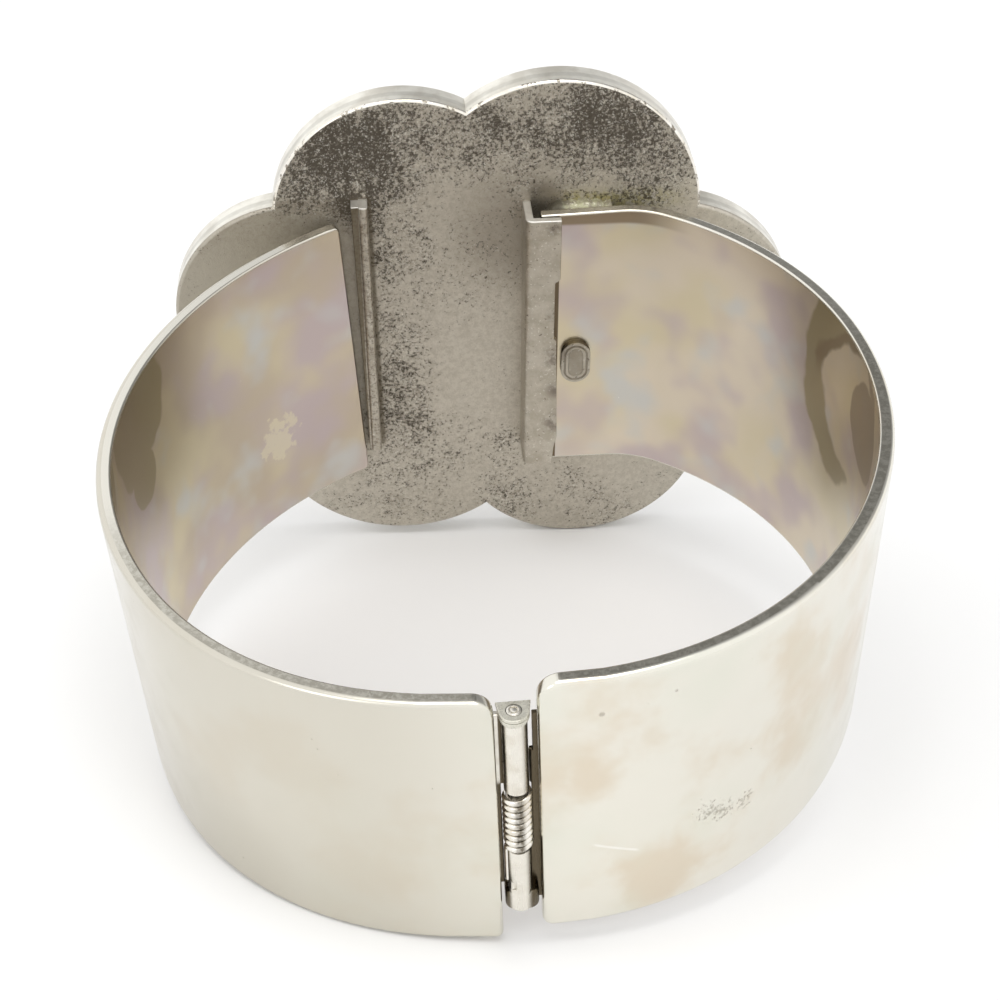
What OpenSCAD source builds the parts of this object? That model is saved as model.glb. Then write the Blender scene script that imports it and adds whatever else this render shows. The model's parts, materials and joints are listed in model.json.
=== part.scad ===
// Hinged bangle with an enamel flower: two cuffs of sheet metal on a sprung hinge pin, and a
// six-lobed flower tray soldered to the fixed cuff. The band is drawn level, with its middle at
// z = 0, the hinge at -Y and the flower at +Y, and is then laid down as it rests by itself: on two
// lobes of the flower and the front of the left cuff. Millimetres, +Z up, origin on the surface.

/* [Cuffs] */
// Thickness of the cuff sheet
sheet_t = 1.3; // [1.2:0.05:1.35]
// Height of the band at the hinge
band_h_hinge = 26.35; // [26:0.05:26.7]
// Height of the band behind the flower
band_h_flower = 29.15; // [28.8:0.05:29.5]
// Distance from the middle of the band to its outer face at the hinge
hinge_depth = 31; // [30.9:0.05:31]
// Where the fixed cuff ends behind the flower, to the right of the middle
right_end_x = 5.45; // [5.3:0.05:5.6]

/* [Set of the left cuff] */
// How far the left cuff sits lower than the fixed one at the hinge
left_drop = 1.43; // [1.3:0.01:1.5]
// Roll that lowers its far side, in degrees
left_roll = 3.22; // [3:0.01:3.4]
// Pitch that raises its free end, in degrees
left_pitch = 0.72; // [0.5:0.01:0.9]
// Turn about the hinge, in degrees
left_yaw = 1.1; // [1:0.05:1.3]

/* [Hinge] */
// Radius of the pin
pin_r = 0.45; // [0.42:0.01:0.46]
// Radius of the holes that the pin runs in
bore_r = 0.5; // [0.5:0.01:0.52]
// Outer radius of the two knuckles
knuckle_r = 0.94; // [0.9:0.01:1]
// Lean of the pin towards the left cuff, in degrees
pin_lean = 1.89; // [1.7:0.01:2]
// Full turns of the spring's coil
spring_turns = 8.5; // [8:0.25:8.75]
// Radius of the spring's wire
wire_r = 0.27; // [0.25:0.01:0.27]

/* [Flower] */
// Distance of the flower's back face from the middle of the band
flower_y = 32.3; // [32.25:0.05:32.5]
// Thickness of the flower tray
flower_t = 3.2; // [3:0.1:3.4]
// Width of the raised rim round the tray
rim_w = 1.2; // [1:0.1:1.4]
// Depth of the tray that holds the enamel
tray_deep = 2; // [1.8:0.1:2]
// Width of the ribs between the petals
rib_w = 0.8; // [0.6:0.1:1]
// Radius of the enamel centre
centre_r = 6.4; // [6:0.1:7]

/* [Channel and stop] */
// Thickness of the channel's strip
strip_t = 0.75; // [0.7:0.05:0.75]
// Left face of the channel's web
channel_x = 3.95; // [3.8:0.05:4]
// Width of the channel, from the web to the edge of its lip
channel_w = 3.35; // [3.2:0.05:3.6]
// How far the lip's near face stands off the flower
channel_deep = 3.9; // [3.9:0.05:4]
// How far the stop strip stands off the flower
stop_deep = 1.8; // [1.5:0.1:2]

/* [Rest] */
// Tilt that the bangle rests at, hinge side down, in degrees
rest_tilt = 9.81; // [9:0.01:10.5]
// Roll that it rests at, left side down, in degrees
rest_roll = 1.71; // [1:0.01:2.5]
// Distance to the right that brings the middle of the resting bangle over the origin
rest_x = 0.955; // [-2:0.005:2]
// Distance back that brings it over the origin
rest_y = -3.367; // [-5:0.005:5]

/* [Hidden] */
$fn = 96;
GAP = 0.05;
FAR = 45;
// How far a cutter runs past what it cuts
BEYOND = 1;

// Arcs of each cuff's outer face in plan, from the hinge round to the flower
RADIUS = 0;
SWEEP = 1;
RIGHT_ARCS = [[30.3, 50.4], [36.4, 47.8], [30.6, 48.1], [9.5, 33.7]];
LEFT_ARCS = [[41.3, 15.2], [28.3, 48.9], [34.5, 52.2], [35.5, 38.7]];
ARC_STEP = 3;
HINGE_STRETCH = 3;

// Lobes of the flower, clockwise from the top left, as seen from the wrist
NAME = 0;
LOBE_X = 1;
LOBE_Z = 2;
LOBE_R = 3;
LOBES = [
    ["petal_top_left", -7.3, 12.9, 12.4],
    ["petal_top_right", 7.2, 12.9, 13.8],
    ["petal_right", 18, 0.6, 12.95],
    ["petal_bottom_right", 10, -13.6, 12.95],
    ["petal_bottom_left", -7.9, -10.7, 14.3],
    ["petal_left", -17.8, 2.9, 11.9],
];
LOBE_COUNT = len(LOBES);
FLOWER_MIDDLE = [0.3, -0.2];
RING_W = 0.8;
RIB_DROP = 0.3;
ENAMEL_DROP = 0.45;

// The hinge pin's place in the level band
PIN_X = -1.85;
PIN_Y = -30.3;

// Hinge, drawn upright round its pin: x across, y back into the band, spans as [low, high]
LOW = 0;
HIGH = 1;
UPPER_KNUCKLE = [2.3, 9.45];
LOWER_KNUCKLE = [-10.7, -4.1];
LEAF_FRONT = 0.45;
LEFT_LEAF_X = [-2.7, -1.12];
LEFT_LEAF_Z = [-8.8, 9.45];
RIGHT_LEAF_X = [1.28, 4.3];
RIGHT_LEAF_Z = [-10.7, 9.3];
LEAF_STEP_X = [1.12, 1.4];
LEAF_STEP_Z = [-10.7, 5.6];
TONGUE_X = [0.99, 1.3];
TONGUE_Y = [0.55, 0.84];
TONGUE_Z = [2.15, 5.6];
END_PLATE = [9.45, 10.3];
END_PLATE_R = 1.12;
END_PLATE_BACK = 1.28;
FOOT = [-10.7, -8.9];
FOOT_X = [-1.19, 1.42];
FOOT_FRONT = -0.5;
PIN = [-10.95, 10.1];
HEAD_R = 0.55;
TOP_HEAD = [9.9, 10.4];
FOOT_HEAD = [-11.1, -10.8];
HEAD_SINK = 9.85;
COIL = [-3.68, 1.78];
COIL_R = 0.87;
LEG_LOW = -7.7;
SLOT_LOW = -8.2;
SLOT_X = [-1.2, -0.58];
WIRE_SIDES = 8;

// Cuff edges beside the hinge, and their corners as [height of the rim, radius of the corner]
LEFT_EDGE = -1.45;
RIGHT_EDGE = 1.62;
RIM = 0;
CORNER_R = 1;
LEFT_TOP = [11.68, 1.5];
LEFT_BOTTOM = [-14.66, 0.4];
RIGHT_TOP = [13.1, 1.8];
RIGHT_BOTTOM = [-13.2, 0.9];
CORNER_DEEP = 6;

// Angle round from the hinge at which an arc starts
function arc_start(arcs, i) = i == 0 ? 0 : arc_start(arcs, i - 1) + arcs[i - 1][SWEEP];
// Centre of an arc: each one leaves the arc before it along the same tangent
function arc_centre(arcs, i) =
    i == 0 ? [0, arcs[0][RADIUS] - hinge_depth]
    : arc_centre(arcs, i - 1) + (arcs[i - 1][RADIUS] - arcs[i][RADIUS]) * outward(arc_start(arcs, i));
function outward(angle) = [sin(angle), -cos(angle)];
// Outer face of the fixed cuff's straight end
function outer_end_y() =
    let (last = len(RIGHT_ARCS) - 1) arc_centre(RIGHT_ARCS, last)[1] + RIGHT_ARCS[last][RADIUS];
// Half the band's height at a distance y from its middle
function half_height(y) =
    (band_h_hinge + band_h_flower) / 4 + (band_h_flower - band_h_hinge) / 4 * y / hinge_depth;

// Lays the level bangle down at rest: its lowest lobes meet z = 0
module at_rest() {
    translate([rest_x, rest_y, rest_lift()]) rotate([rest_tilt, -rest_roll, 0]) children();
}
// Height that a point of the level band has once the band is tilted and rolled
function tilted_z(p) =
    p[0] * sin(rest_roll)
    + (p[1] * sin(rest_tilt) + p[2] * cos(rest_tilt)) * cos(rest_roll);
function lobe_low(lobe) =
    tilted_z([lobe[LOBE_X], flower_y, lobe[LOBE_Z]])
    - lobe[LOBE_R] * norm([sin(rest_roll), cos(rest_tilt) * cos(rest_roll)]);
function rest_lift() = -min([for (lobe = LOBES) lobe_low(lobe)]);

module hinge_frame() {
    translate([PIN_X, PIN_Y, 0]) rotate([0, -pin_lean, 0]) children();
}

// Both rims of the band are flat cuts, a little wider apart at the flower than at the hinge
module band_slab() {
    near = half_height(-FAR);
    far = half_height(FAR);
    rotate([90, 0, 90])
        linear_extrude(height = 2 * FAR, center = true)
            polygon([[-FAR, -near], [FAR, -far], [FAR, far], [-FAR, near]]);
}

// Points along a cuff's arcs in plan, drawn in from the outer face by inset
function arc_points(arcs, inset) = [
    for (i = [0 : len(arcs) - 1])
        let (steps = round(arcs[i][SWEEP] / ARC_STEP), last = i == len(arcs) - 1 ? steps : steps - 1)
        for (k = [0 : last])
            arc_centre(arcs, i)
            + (arcs[i][RADIUS] - inset) * outward(arc_start(arcs, i) + arcs[i][SWEEP] * k / steps)
];
function reversed(list) = [for (i = [len(list) - 1 : -1 : 0]) list[i]];

// Wall of one cuff in plan: a stretch across the hinge's gap, the arcs, and any straight end
module cuff_wall(arcs, end_x) {
    function face(inset) = concat(
        [[-HINGE_STRETCH, inset - hinge_depth]],
        arc_points(arcs, inset),
        is_undef(end_x) ? [] : [[end_x, outer_end_y() - inset]]
    );
    linear_extrude(height = FAR, center = true)
        polygon(concat(face(0), reversed(face(sheet_t))));
}

// Takes a corner off a cuff beside the hinge, side = 1 for the right cuff, -1 for the left
module corner_cut(side, edge, corner, up) {
    r = corner[CORNER_R];
    translate([edge, 0, corner[RIM]])
        mirror([side > 0 ? 0 : 1, 0, 0]) mirror([0, 0, up > 0 ? 0 : 1])
            translate([r, 0, -r]) rotate([90, 0, 0])
                difference() {
                    translate([-r - BEYOND, 0, -CORNER_DEEP / 2])
                        cube([r + BEYOND, r + BEYOND, CORNER_DEEP]);
                    cylinder(r = r, h = CORNER_DEEP + BEYOND, center = true);
                }
}
// Clears everything on one side of a cuff's hinge edge
module beside(from) {
    translate([from, -FAR / 4, -FAR / 2]) cube([FAR, FAR / 2, FAR]);
}

module left_shell() {
    difference() {
        translate([PIN_X, PIN_Y, -left_drop])
            rotate([0, 0, left_yaw])
                rotate([left_pitch, -left_roll, 0])
                    translate([-PIN_X, -PIN_Y, 0])
                        intersection() {
                            mirror([1, 0, 0]) cuff_wall(LEFT_ARCS);
                            band_slab();
                        }
        hinge_frame() {
            beside(LEFT_EDGE);
            corner_cut(-1, LEFT_EDGE, LEFT_TOP, 1);
            corner_cut(-1, LEFT_EDGE, LEFT_BOTTOM, -1);
        }
    }
}

module right_shell() {
    difference() {
        intersection() {
            cuff_wall(RIGHT_ARCS, right_end_x);
            band_slab();
        }
        hinge_frame() {
            beside(RIGHT_EDGE - FAR);
            corner_cut(1, RIGHT_EDGE, RIGHT_TOP, 1);
            corner_cut(1, RIGHT_EDGE, RIGHT_BOTTOM, -1);
        }
    }
}

module post(r, span) {
    translate([0, 0, span[LOW]]) cylinder(r = r, h = span[HIGH] - span[LOW]);
}
module slab(across, front, back, span) {
    translate([across[LOW], front, span[LOW]])
        cube([across[HIGH] - across[LOW], back - front, span[HIGH] - span[LOW]]);
}
// Leaf that solders a knuckle to the inside of its cuff
module leaf(across, span) {
    slab(across, LEAF_FRONT, knuckle_r, span);
}
module pin_hole() {
    post(bore_r, [-FAR / 2, FAR / 2]);
}

// Knuckle of the left cuff, with the small plate on top that is flat behind and round in front
module upper_knuckle() {
    post(knuckle_r, UPPER_KNUCKLE);
    leaf([LEFT_LEAF_X[LOW], 0], UPPER_KNUCKLE);
    leaf(LEFT_LEAF_X, LEFT_LEAF_Z);
    post(END_PLATE_R, END_PLATE);
    slab([-END_PLATE_BACK, END_PLATE_BACK], 0, knuckle_r, END_PLATE);
    leaf([LEFT_LEAF_X[LOW], 0], END_PLATE);
}

// Knuckle of the right cuff, on a wider foot, with a tongue on its leaf behind the other barrel
module lower_knuckle() {
    post(knuckle_r, LOWER_KNUCKLE);
    leaf([0, RIGHT_LEAF_X[HIGH]], LOWER_KNUCKLE);
    leaf(RIGHT_LEAF_X, RIGHT_LEAF_Z);
    leaf(LEAF_STEP_X, LEAF_STEP_Z);
    slab(TONGUE_X, TONGUE_Y[LOW], TONGUE_Y[HIGH], TONGUE_Z);
    slab(FOOT_X, FOOT_FRONT, knuckle_r, FOOT);
}

module left_cuff() {
    color("silver") at_rest()
        difference() {
            union() {
                left_shell();
                hinge_frame() upper_knuckle();
            }
            hinge_frame() {
                pin_hole();
                post(HEAD_R + GAP, [HEAD_SINK, FAR]);
            }
        }
}

TAG_X = 9.1;
TAG_Z = -2.6;
TAG_W = 2.9;
TAG_STRAIGHT = 1.85;
TAG_T = 1.25;

// Small plain oval soldered to the inside of the fixed cuff, near its end
module oval_tag() {
    translate([TAG_X, outer_end_y() - sheet_t / 2, TAG_Z]) rotate([90, 0, 0])
        union() {
            for (side = [-1, 1])
                translate([0, side * TAG_STRAIGHT / 2, 0]) cylinder(r = TAG_W / 2, h = TAG_T);
            translate([-TAG_W / 2, -TAG_STRAIGHT / 2, 0]) cube([TAG_W, TAG_STRAIGHT, TAG_T]);
        }
}

module right_cuff() {
    color("silver") at_rest() {
        difference() {
            union() {
                right_shell();
                hinge_frame() lower_knuckle();
            }
            hinge_frame() {
                pin_hole();
                slab(SLOT_X, -wire_r - GAP, wire_r + GAP, [SLOT_LOW, LOWER_KNUCKLE[HIGH] + BEYOND]);
            }
        }
        oval_tag();
    }
}

module hinge_pin() {
    color("gainsboro") at_rest() hinge_frame() {
        post(pin_r, PIN);
        post(HEAD_R, TOP_HEAD);
        post(HEAD_R, FOOT_HEAD);
    }
}

// Path of the spring's wire as [angle, height] on a cylinder of radius COIL_R
COIL_STEPS = 20;
BEND = 0.5;
BEND_STEP = 22.5;
LEG_ANGLE = 180;
BEND_ANGLE = BEND / COIL_R * 180 / PI;
coil_path = [
    for (i = [0 : spring_turns * COIL_STEPS])
        let (done = i / (spring_turns * COIL_STEPS))
        [LEG_ANGLE + BEND_ANGLE + 360 * spring_turns * (1 - done),
            COIL[HIGH] + (COIL[LOW] - COIL[HIGH]) * done]
];
bend_path = [
    for (a = [BEND_STEP : BEND_STEP : 90])
        [LEG_ANGLE + BEND_ANGLE * (1 - sin(a)), COIL[LOW] - BEND * (1 - cos(a))]
];
wire_path = concat(coil_path, bend_path, [[LEG_ANGLE, LEG_LOW]]);
function on_coil(p) = [COIL_R * cos(p[0]), COIL_R * sin(p[0]), p[1]];
function unit(v) = v / norm(v);
function path_ahead(path, i) =
    unit(on_coil(path[min(i + 1, len(path) - 1)]) - on_coil(path[max(i - 1, 0)]));

// Round wire swept along the path, closed at both ends
module wire(path, r, sides) {
    last = len(path) - 1;
    rings = [
        for (i = [0 : last])
            let (out = [cos(path[i][0]), sin(path[i][0]), 0], up = cross(path_ahead(path, i), out))
            for (k = [0 : sides - 1])
                on_coil(path[i]) + r * (cos(360 * k / sides) * out + sin(360 * k / sides) * up)
    ];
    skin = [
        for (i = [0 : last - 1], k = [0 : sides - 1])
            [(i + 1) * sides + k, (i + 1) * sides + (k + 1) % sides,
             i * sides + (k + 1) % sides, i * sides + k]
    ];
    start = [for (k = [0 : sides - 1]) k];
    end = [for (k = [sides - 1 : -1 : 0]) last * sides + k];
    polyhedron(rings, concat(skin, [start, end]));
}

module hinge_spring() {
    color("gainsboro") at_rest() hinge_frame() wire(wire_path, wire_r, WIRE_SIDES);
}

// Flower frame: x across, y up, z from the front face back towards the wrist
module flower_frame() {
    translate([0, flower_y + flower_t, 0]) rotate([90, 0, 0]) children();
}

// All six lobes as one plate, drawn in by inset, between two depths from the front
module lobes(inset, from, to) {
    translate([0, 0, from]) {
        for (lobe = LOBES)
            translate([lobe[LOBE_X], lobe[LOBE_Z], 0]) cylinder(r = lobe[LOBE_R] - inset, h = to - from);
        translate(FLOWER_MIDDLE) cylinder(r = centre_r + RING_W, h = to - from);
    }
}

// Outer crossing of a lobe's circle with the next lobe's: the notch between two petals
function middle_of(lobe) = [lobe[LOBE_X], lobe[LOBE_Z]];
function notch(i) =
    let (
        a = LOBES[i],
        b = LOBES[(i + 1) % LOBE_COUNT],
        span = middle_of(b) - middle_of(a),
        d = norm(span),
        along = (d * d + a[LOBE_R] * a[LOBE_R] - b[LOBE_R] * b[LOBE_R]) / (2 * d),
        aside = sqrt(a[LOBE_R] * a[LOBE_R] - along * along)
    )
    middle_of(a) + along * span / d + aside * [-span[1], span[0]] / d;
// Direction of the rib that runs from the middle to the notch after lobe i
function rib_angle(i) =
    let (v = notch(i) - FLOWER_MIDDLE) atan2(v[1], v[0]);

module rib_bar(i, w, from, to) {
    translate([FLOWER_MIDDLE[0], FLOWER_MIDDLE[1], from])
        rotate([0, 0, rib_angle(i)])
            translate([0, -w / 2, 0]) cube([norm(notch(i) - FLOWER_MIDDLE) - rim_w / 2, w, to - from]);
}

module centre_disc(r, from, to) {
    translate([FLOWER_MIDDLE[0], FLOWER_MIDDLE[1], from]) cylinder(r = r, h = to - from);
}

// Tray with its rim, ribs and centre ring
module flower_tray() {
    flower_frame() {
        difference() {
            lobes(0, 0, flower_t);
            lobes(rim_w, -BEYOND, tray_deep);
        }
        difference() {
            union() {
                for (i = [0 : LOBE_COUNT - 1])
                    rib_bar(i, rib_w, RIB_DROP, tray_deep);
                centre_disc(centre_r + GAP + RING_W, RIB_DROP, tray_deep);
            }
            centre_disc(centre_r + GAP, 0, tray_deep);
        }
    }
}

CHANNEL_LOW = -14.2;
CHANNEL_H = 28.6;
SOLDER_W = 8.4;
SOLDER_IN = 1.2;

// Folded channel that holds the end of the fixed cuff: a web, a lip and the solder behind the cuff
module channel() {
    lip_y = flower_y - channel_deep;
    solder_y = outer_end_y() + GAP;
    translate([channel_x, lip_y, CHANNEL_LOW]) {
        cube([strip_t, channel_deep, CHANNEL_H]);
        cube([channel_w, strip_t, CHANNEL_H]);
    }
    translate([channel_x, solder_y, CHANNEL_LOW + SOLDER_IN])
        cube([SOLDER_W, flower_y - solder_y, CHANNEL_H - 2 * SOLDER_IN]);
}

// Strip that the left cuff's free end closes against, a little narrower at its foot
STOP_OUTLINE = [[-12.2, 15.8], [-10.8, 15.8], [-10.9, -12.6], [-11.44, -12.6]];
module stop_strip() {
    translate([0, flower_y, 0]) rotate([90, 0, 0])
        linear_extrude(height = stop_deep)
            polygon(STOP_OUTLINE);
}

module flower_plaque() {
    color("darkgray") at_rest() {
        flower_tray();
        channel();
        stop_strip();
    }
}

// Enamel of one petal: its lobe between the ribs, outside the centre ring
module petal(i) {
    before = (i + LOBE_COUNT - 1) % LOBE_COUNT;
    a = rib_angle(i);
    b = rib_angle(before);
    mid = (a + b + (b < a ? 360 : 0)) / 2;
    color("ivory") at_rest() flower_frame()
        difference() {
            intersection() {
                translate([LOBES[i][LOBE_X], LOBES[i][LOBE_Z], ENAMEL_DROP])
                    cylinder(r = LOBES[i][LOBE_R] - rim_w - GAP, h = tray_deep - ENAMEL_DROP - GAP);
                translate(FLOWER_MIDDLE)
                    linear_extrude(height = flower_t)
                        polygon([[0, 0], FAR * [cos(a), sin(a)], FAR * [cos(mid), sin(mid)],
                            FAR * [cos(b), sin(b)]]);
            }
            rib_bar(i, rib_w + 2 * GAP, 0, flower_t);
            rib_bar(before, rib_w + 2 * GAP, 0, flower_t);
            centre_disc(centre_r + RING_W + 2 * GAP, 0, flower_t);
        }
}

module flower_centre() {
    color("goldenrod") at_rest() flower_frame()
        centre_disc(centre_r, RIB_DROP, tray_deep - GAP);
}

left_cuff();
right_cuff();
hinge_pin();
hinge_spring();
flower_plaque();
for (i = [0 : LOBE_COUNT - 1])
    petal(i);
flower_centre();
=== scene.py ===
# %% [markdown]
# # A hinged flower bangle, seen from behind
# The real object is a wide bangle of two polished sheet-metal cuffs on a sprung hinge. A flat
# flower of six lobes is soldered to the right cuff, and its enamel faces away from us. The packed
# CAD model is loaded first, because each piece made here takes the place of one of its solids and
# moves with one of its bodies. Its box is noted before anything is added.

# %% Load the CAD frame
import json
import math

import bmesh
import bpy
from mathutils import Euler, Matrix, Vector

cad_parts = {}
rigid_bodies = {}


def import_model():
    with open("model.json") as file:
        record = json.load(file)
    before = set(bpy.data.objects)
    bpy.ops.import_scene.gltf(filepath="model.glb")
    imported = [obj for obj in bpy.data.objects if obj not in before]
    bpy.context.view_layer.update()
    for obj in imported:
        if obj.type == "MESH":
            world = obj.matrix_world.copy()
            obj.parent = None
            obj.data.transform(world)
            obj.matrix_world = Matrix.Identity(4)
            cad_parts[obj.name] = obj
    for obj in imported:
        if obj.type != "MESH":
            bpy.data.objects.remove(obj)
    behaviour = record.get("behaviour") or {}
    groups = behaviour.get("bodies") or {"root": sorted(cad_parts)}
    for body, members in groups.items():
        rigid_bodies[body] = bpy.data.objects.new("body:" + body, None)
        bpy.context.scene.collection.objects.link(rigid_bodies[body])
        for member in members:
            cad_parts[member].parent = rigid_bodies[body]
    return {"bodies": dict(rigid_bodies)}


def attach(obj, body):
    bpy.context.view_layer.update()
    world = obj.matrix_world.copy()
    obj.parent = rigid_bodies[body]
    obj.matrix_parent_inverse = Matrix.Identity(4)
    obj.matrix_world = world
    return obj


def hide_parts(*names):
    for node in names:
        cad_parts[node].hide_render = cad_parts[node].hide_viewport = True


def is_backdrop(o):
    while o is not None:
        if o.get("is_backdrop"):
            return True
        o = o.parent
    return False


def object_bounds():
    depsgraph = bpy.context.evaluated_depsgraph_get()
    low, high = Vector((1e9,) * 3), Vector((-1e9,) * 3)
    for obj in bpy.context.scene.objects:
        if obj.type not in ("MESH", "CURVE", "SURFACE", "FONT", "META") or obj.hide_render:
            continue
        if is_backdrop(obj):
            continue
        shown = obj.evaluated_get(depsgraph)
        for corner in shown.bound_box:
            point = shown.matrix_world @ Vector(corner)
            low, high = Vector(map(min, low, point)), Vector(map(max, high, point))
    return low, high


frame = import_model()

CAD_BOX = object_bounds()
MM = 0.001


def in_mm(place, digits=1):
    return [round(v / MM, digits) for v in place]


print("bodies", list(frame["bodies"]), "box in mm", [in_mm(corner) for corner in CAD_BOX])

# %% [markdown]
# ## Three places to draw in
# The bangle rests tipped over, on the left cuff's edge beside the hinge and on one lobe of its
# flower. It is far easier to draw it level, as the CAD source does, and to lay each finished piece
# down at the end. The hinge leans a little in the level band, so the hinge pieces are drawn upright
# round their own pin. All three places are matrices: a piece drawn in one is multiplied into the
# next.

# %% The level band, its hinge and its rest
REST_SPOT = Vector((0.955, -3.367, 20.357)) * MM
REST_TURN = Euler((math.radians(9.81), math.radians(-1.71), 0))
REST = Matrix.LocRotScale(REST_SPOT, REST_TURN, None)

PIN_SPOT = Vector((-1.85, -30.3, 0)) * MM
HINGE = Matrix.Translation(PIN_SPOT) @ Matrix.Rotation(math.radians(-1.89), 4, "Y")
LEVEL = Matrix.Identity(4)


def mm(x, y, z):
    """A place given in millimetres, in metres."""
    return Vector((x, y, z)) * MM


print("the pin's foot rests at", in_mm(REST @ HINGE @ mm(0, 0, -11)), "mm")

# %% [markdown]
# ## Small tools
# Each edit-mode operator acts on whatever is selected, so these few helpers keep the selection
# honest: one starts a primitive on its own, and one picks parts of the mesh by a test on their
# place.

# %% Start a piece and pick parts of it
def alone(piece):
    """Leaves only this piece selected and active."""
    bpy.ops.object.select_all(action="DESELECT")
    piece.select_set(True)
    bpy.context.view_layer.objects.active = piece


def settled(piece):
    """Puts a piece's place into its mesh."""
    alone(piece)
    bpy.ops.object.transform_apply(location=True, rotation=True, scale=True)
    return piece


def started(name):
    """Names the primitive that was just added."""
    piece = bpy.context.object
    piece.name = piece.data.name = name
    return settled(piece)


def block(name, low, high):
    """A box between two corners, in millimetres."""
    bpy.ops.object.select_all(action="DESELECT")
    low, high = mm(*low), mm(*high)
    bpy.ops.mesh.primitive_cube_add(size=1, location=(low + high) / 2, scale=high - low)
    return started(name)


def rod(name, radius, middle, length, sides=64, along="Z"):
    """A round bar by its middle, in millimetres, along Z or along Y."""
    bpy.ops.object.select_all(action="DESELECT")
    turn = (math.pi / 2, 0, 0) if along == "Y" else (0, 0, 0)
    bpy.ops.mesh.primitive_cylinder_add(vertices=sides, radius=radius * MM, depth=length * MM,
                                        location=mm(*middle), rotation=turn)
    return started(name)


def disc(name, radius, x, z, back, front, sides=96):
    """A round plate that faces forward, between two depths."""
    return rod(name, radius, (x, (back + front) / 2, z), front - back, sides, "Y")


def edit(piece):
    alone(piece)
    bpy.ops.object.mode_set(mode="EDIT")


def done():
    bpy.ops.object.mode_set(mode="OBJECT")


def middle(part):
    """The middle of a face, edge or vertex, in millimetres."""
    corners = getattr(part, "verts", None) or [part]
    return sum((corner.co for corner in corners), Vector()) / len(corners) / MM


def pick(kind, test):
    """In edit mode, selects just the faces, edges or vertices that pass the test."""
    bpy.ops.mesh.select_mode(type=kind)
    bpy.ops.mesh.select_all(action="DESELECT")
    shape = bmesh.from_edit_mesh(bpy.context.edit_object.data)
    parts = {"FACE": shape.faces, "EDGE": shape.edges, "VERT": shape.verts}[kind]
    chosen = [part for part in parts if test(part)]
    for part in chosen:
        part.select_set(True)
    shape.select_flush_mode()
    bmesh.update_edit_mesh(bpy.context.edit_object.data)
    return len(chosen)


# %% [markdown]
# Then come the moves and cuts that the pieces are made with, in edit mode and in millimetres. The
# first three act on what is selected. The others pick for themselves: all of it, or what is sharp.

# %% Extrude, push, bevel and cut
def draw_out(x, y, z):
    """Extrudes what is selected."""
    bpy.ops.mesh.extrude_region_move(TRANSFORM_OT_translate={"value": mm(x, y, z)})


def push(x, y, z):
    bpy.ops.transform.translate(value=mm(x, y, z))


def bevel(width, steps):
    bpy.ops.mesh.bevel(offset=width * MM, segments=steps, affect="EDGES")


def score(point, across):
    """Adds a line of edges all round, where a plane crosses the piece."""
    bpy.ops.mesh.select_all(action="SELECT")
    bpy.ops.mesh.bisect(plane_co=point, plane_no=across)


def cut_off(point, beyond):
    """Cuts away what lies beyond a plane and closes the cut."""
    bpy.ops.mesh.select_all(action="SELECT")
    bpy.ops.mesh.bisect(plane_co=point, plane_no=beyond, clear_outer=True, use_fill=True)


def soften(width, steps=3, sharper_than=30):
    """Rounds every edge that is sharper than an angle."""
    bpy.ops.mesh.select_mode(type="EDGE")
    bpy.ops.mesh.select_all(action="DESELECT")
    bpy.ops.mesh.edges_select_sharp(sharpness=math.radians(sharper_than))
    bevel(width, steps)


# %% [markdown]
# Shading comes last on every piece. A rounded edge beside a large flat face would pull the shading
# of the flat face round with it, so the normals are weighted by the size of the faces. A boolean
# is used only where one piece is really drilled or sawn by another.

# %% Finish a piece's surface, drill it, join it
def smooth(piece, sharper_than=40):
    alone(piece)
    bpy.ops.object.shade_smooth_by_angle(angle=math.radians(sharper_than))
    weighted = piece.modifiers.new("weighted", "WEIGHTED_NORMAL")
    weighted.keep_sharp = True
    bpy.ops.object.modifier_apply(modifier=weighted.name)


def drill(piece, tool, operation="DIFFERENCE"):
    """Cuts the tool's shape out of the piece, or joins it in, and removes the tool."""
    alone(piece)
    boolean = piece.modifiers.new("drill", "BOOLEAN")
    boolean.operation = operation
    boolean.solver = "EXACT"
    boolean.object = tool
    bpy.ops.object.modifier_apply(modifier=boolean.name)
    bpy.data.objects.remove(tool)


def joined(pieces):
    """One object from several, under the first one's name."""
    alone(pieces[0])
    for piece in pieces:
        piece.select_set(True)
    bpy.ops.object.join()
    return pieces[0]


# %% [markdown]
# Laying a piece down is the same for all. It is smoothed, and its place is multiplied by the frame
# that it was drawn in and then by the rest, and put into the mesh, so that the object itself sits
# at the origin. Then the CAD solid that it stands for is hidden, it is attached to the body that it
# rides on, and its finish is added if it is given one. A piece of several finishes is painted
# first, by a test on its faces.

# %% Lay a piece down and hand it over
def painted(piece, finish, test):
    """Gives one more finish to the faces that pass the test."""
    piece.data.materials.append(finish)
    piece.active_material_index = len(piece.data.materials) - 1
    edit(piece)
    pick("FACE", test)
    bpy.ops.object.material_slot_assign()
    done()


def lay_down(piece, drawn_in, finish, body, stands_for, sharper_than=40):
    smooth(piece, sharper_than)
    piece.matrix_world = REST @ drawn_in @ piece.matrix_world
    settled(piece)
    if finish:
        piece.data.materials.append(finish)
    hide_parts(stands_for)
    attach(piece, body)
    print(piece.name, "has", len(piece.data.polygons), "faces and rides on", body)


# %% [markdown]
# ## Finishes
# Every finish is a Principled shader fed by patterns. The patterns read the level band in
# millimetres: a Mapping node of the Texture type undoes the rest, so a pattern can be put on one
# exact spot, such as the corroded patch on the right cuff, and a scale is a size in millimetres.
# What a node puts out is wrapped in a small class, so that patterns are added and multiplied like
# numbers. Each sign between two of them becomes one Math node.

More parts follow.
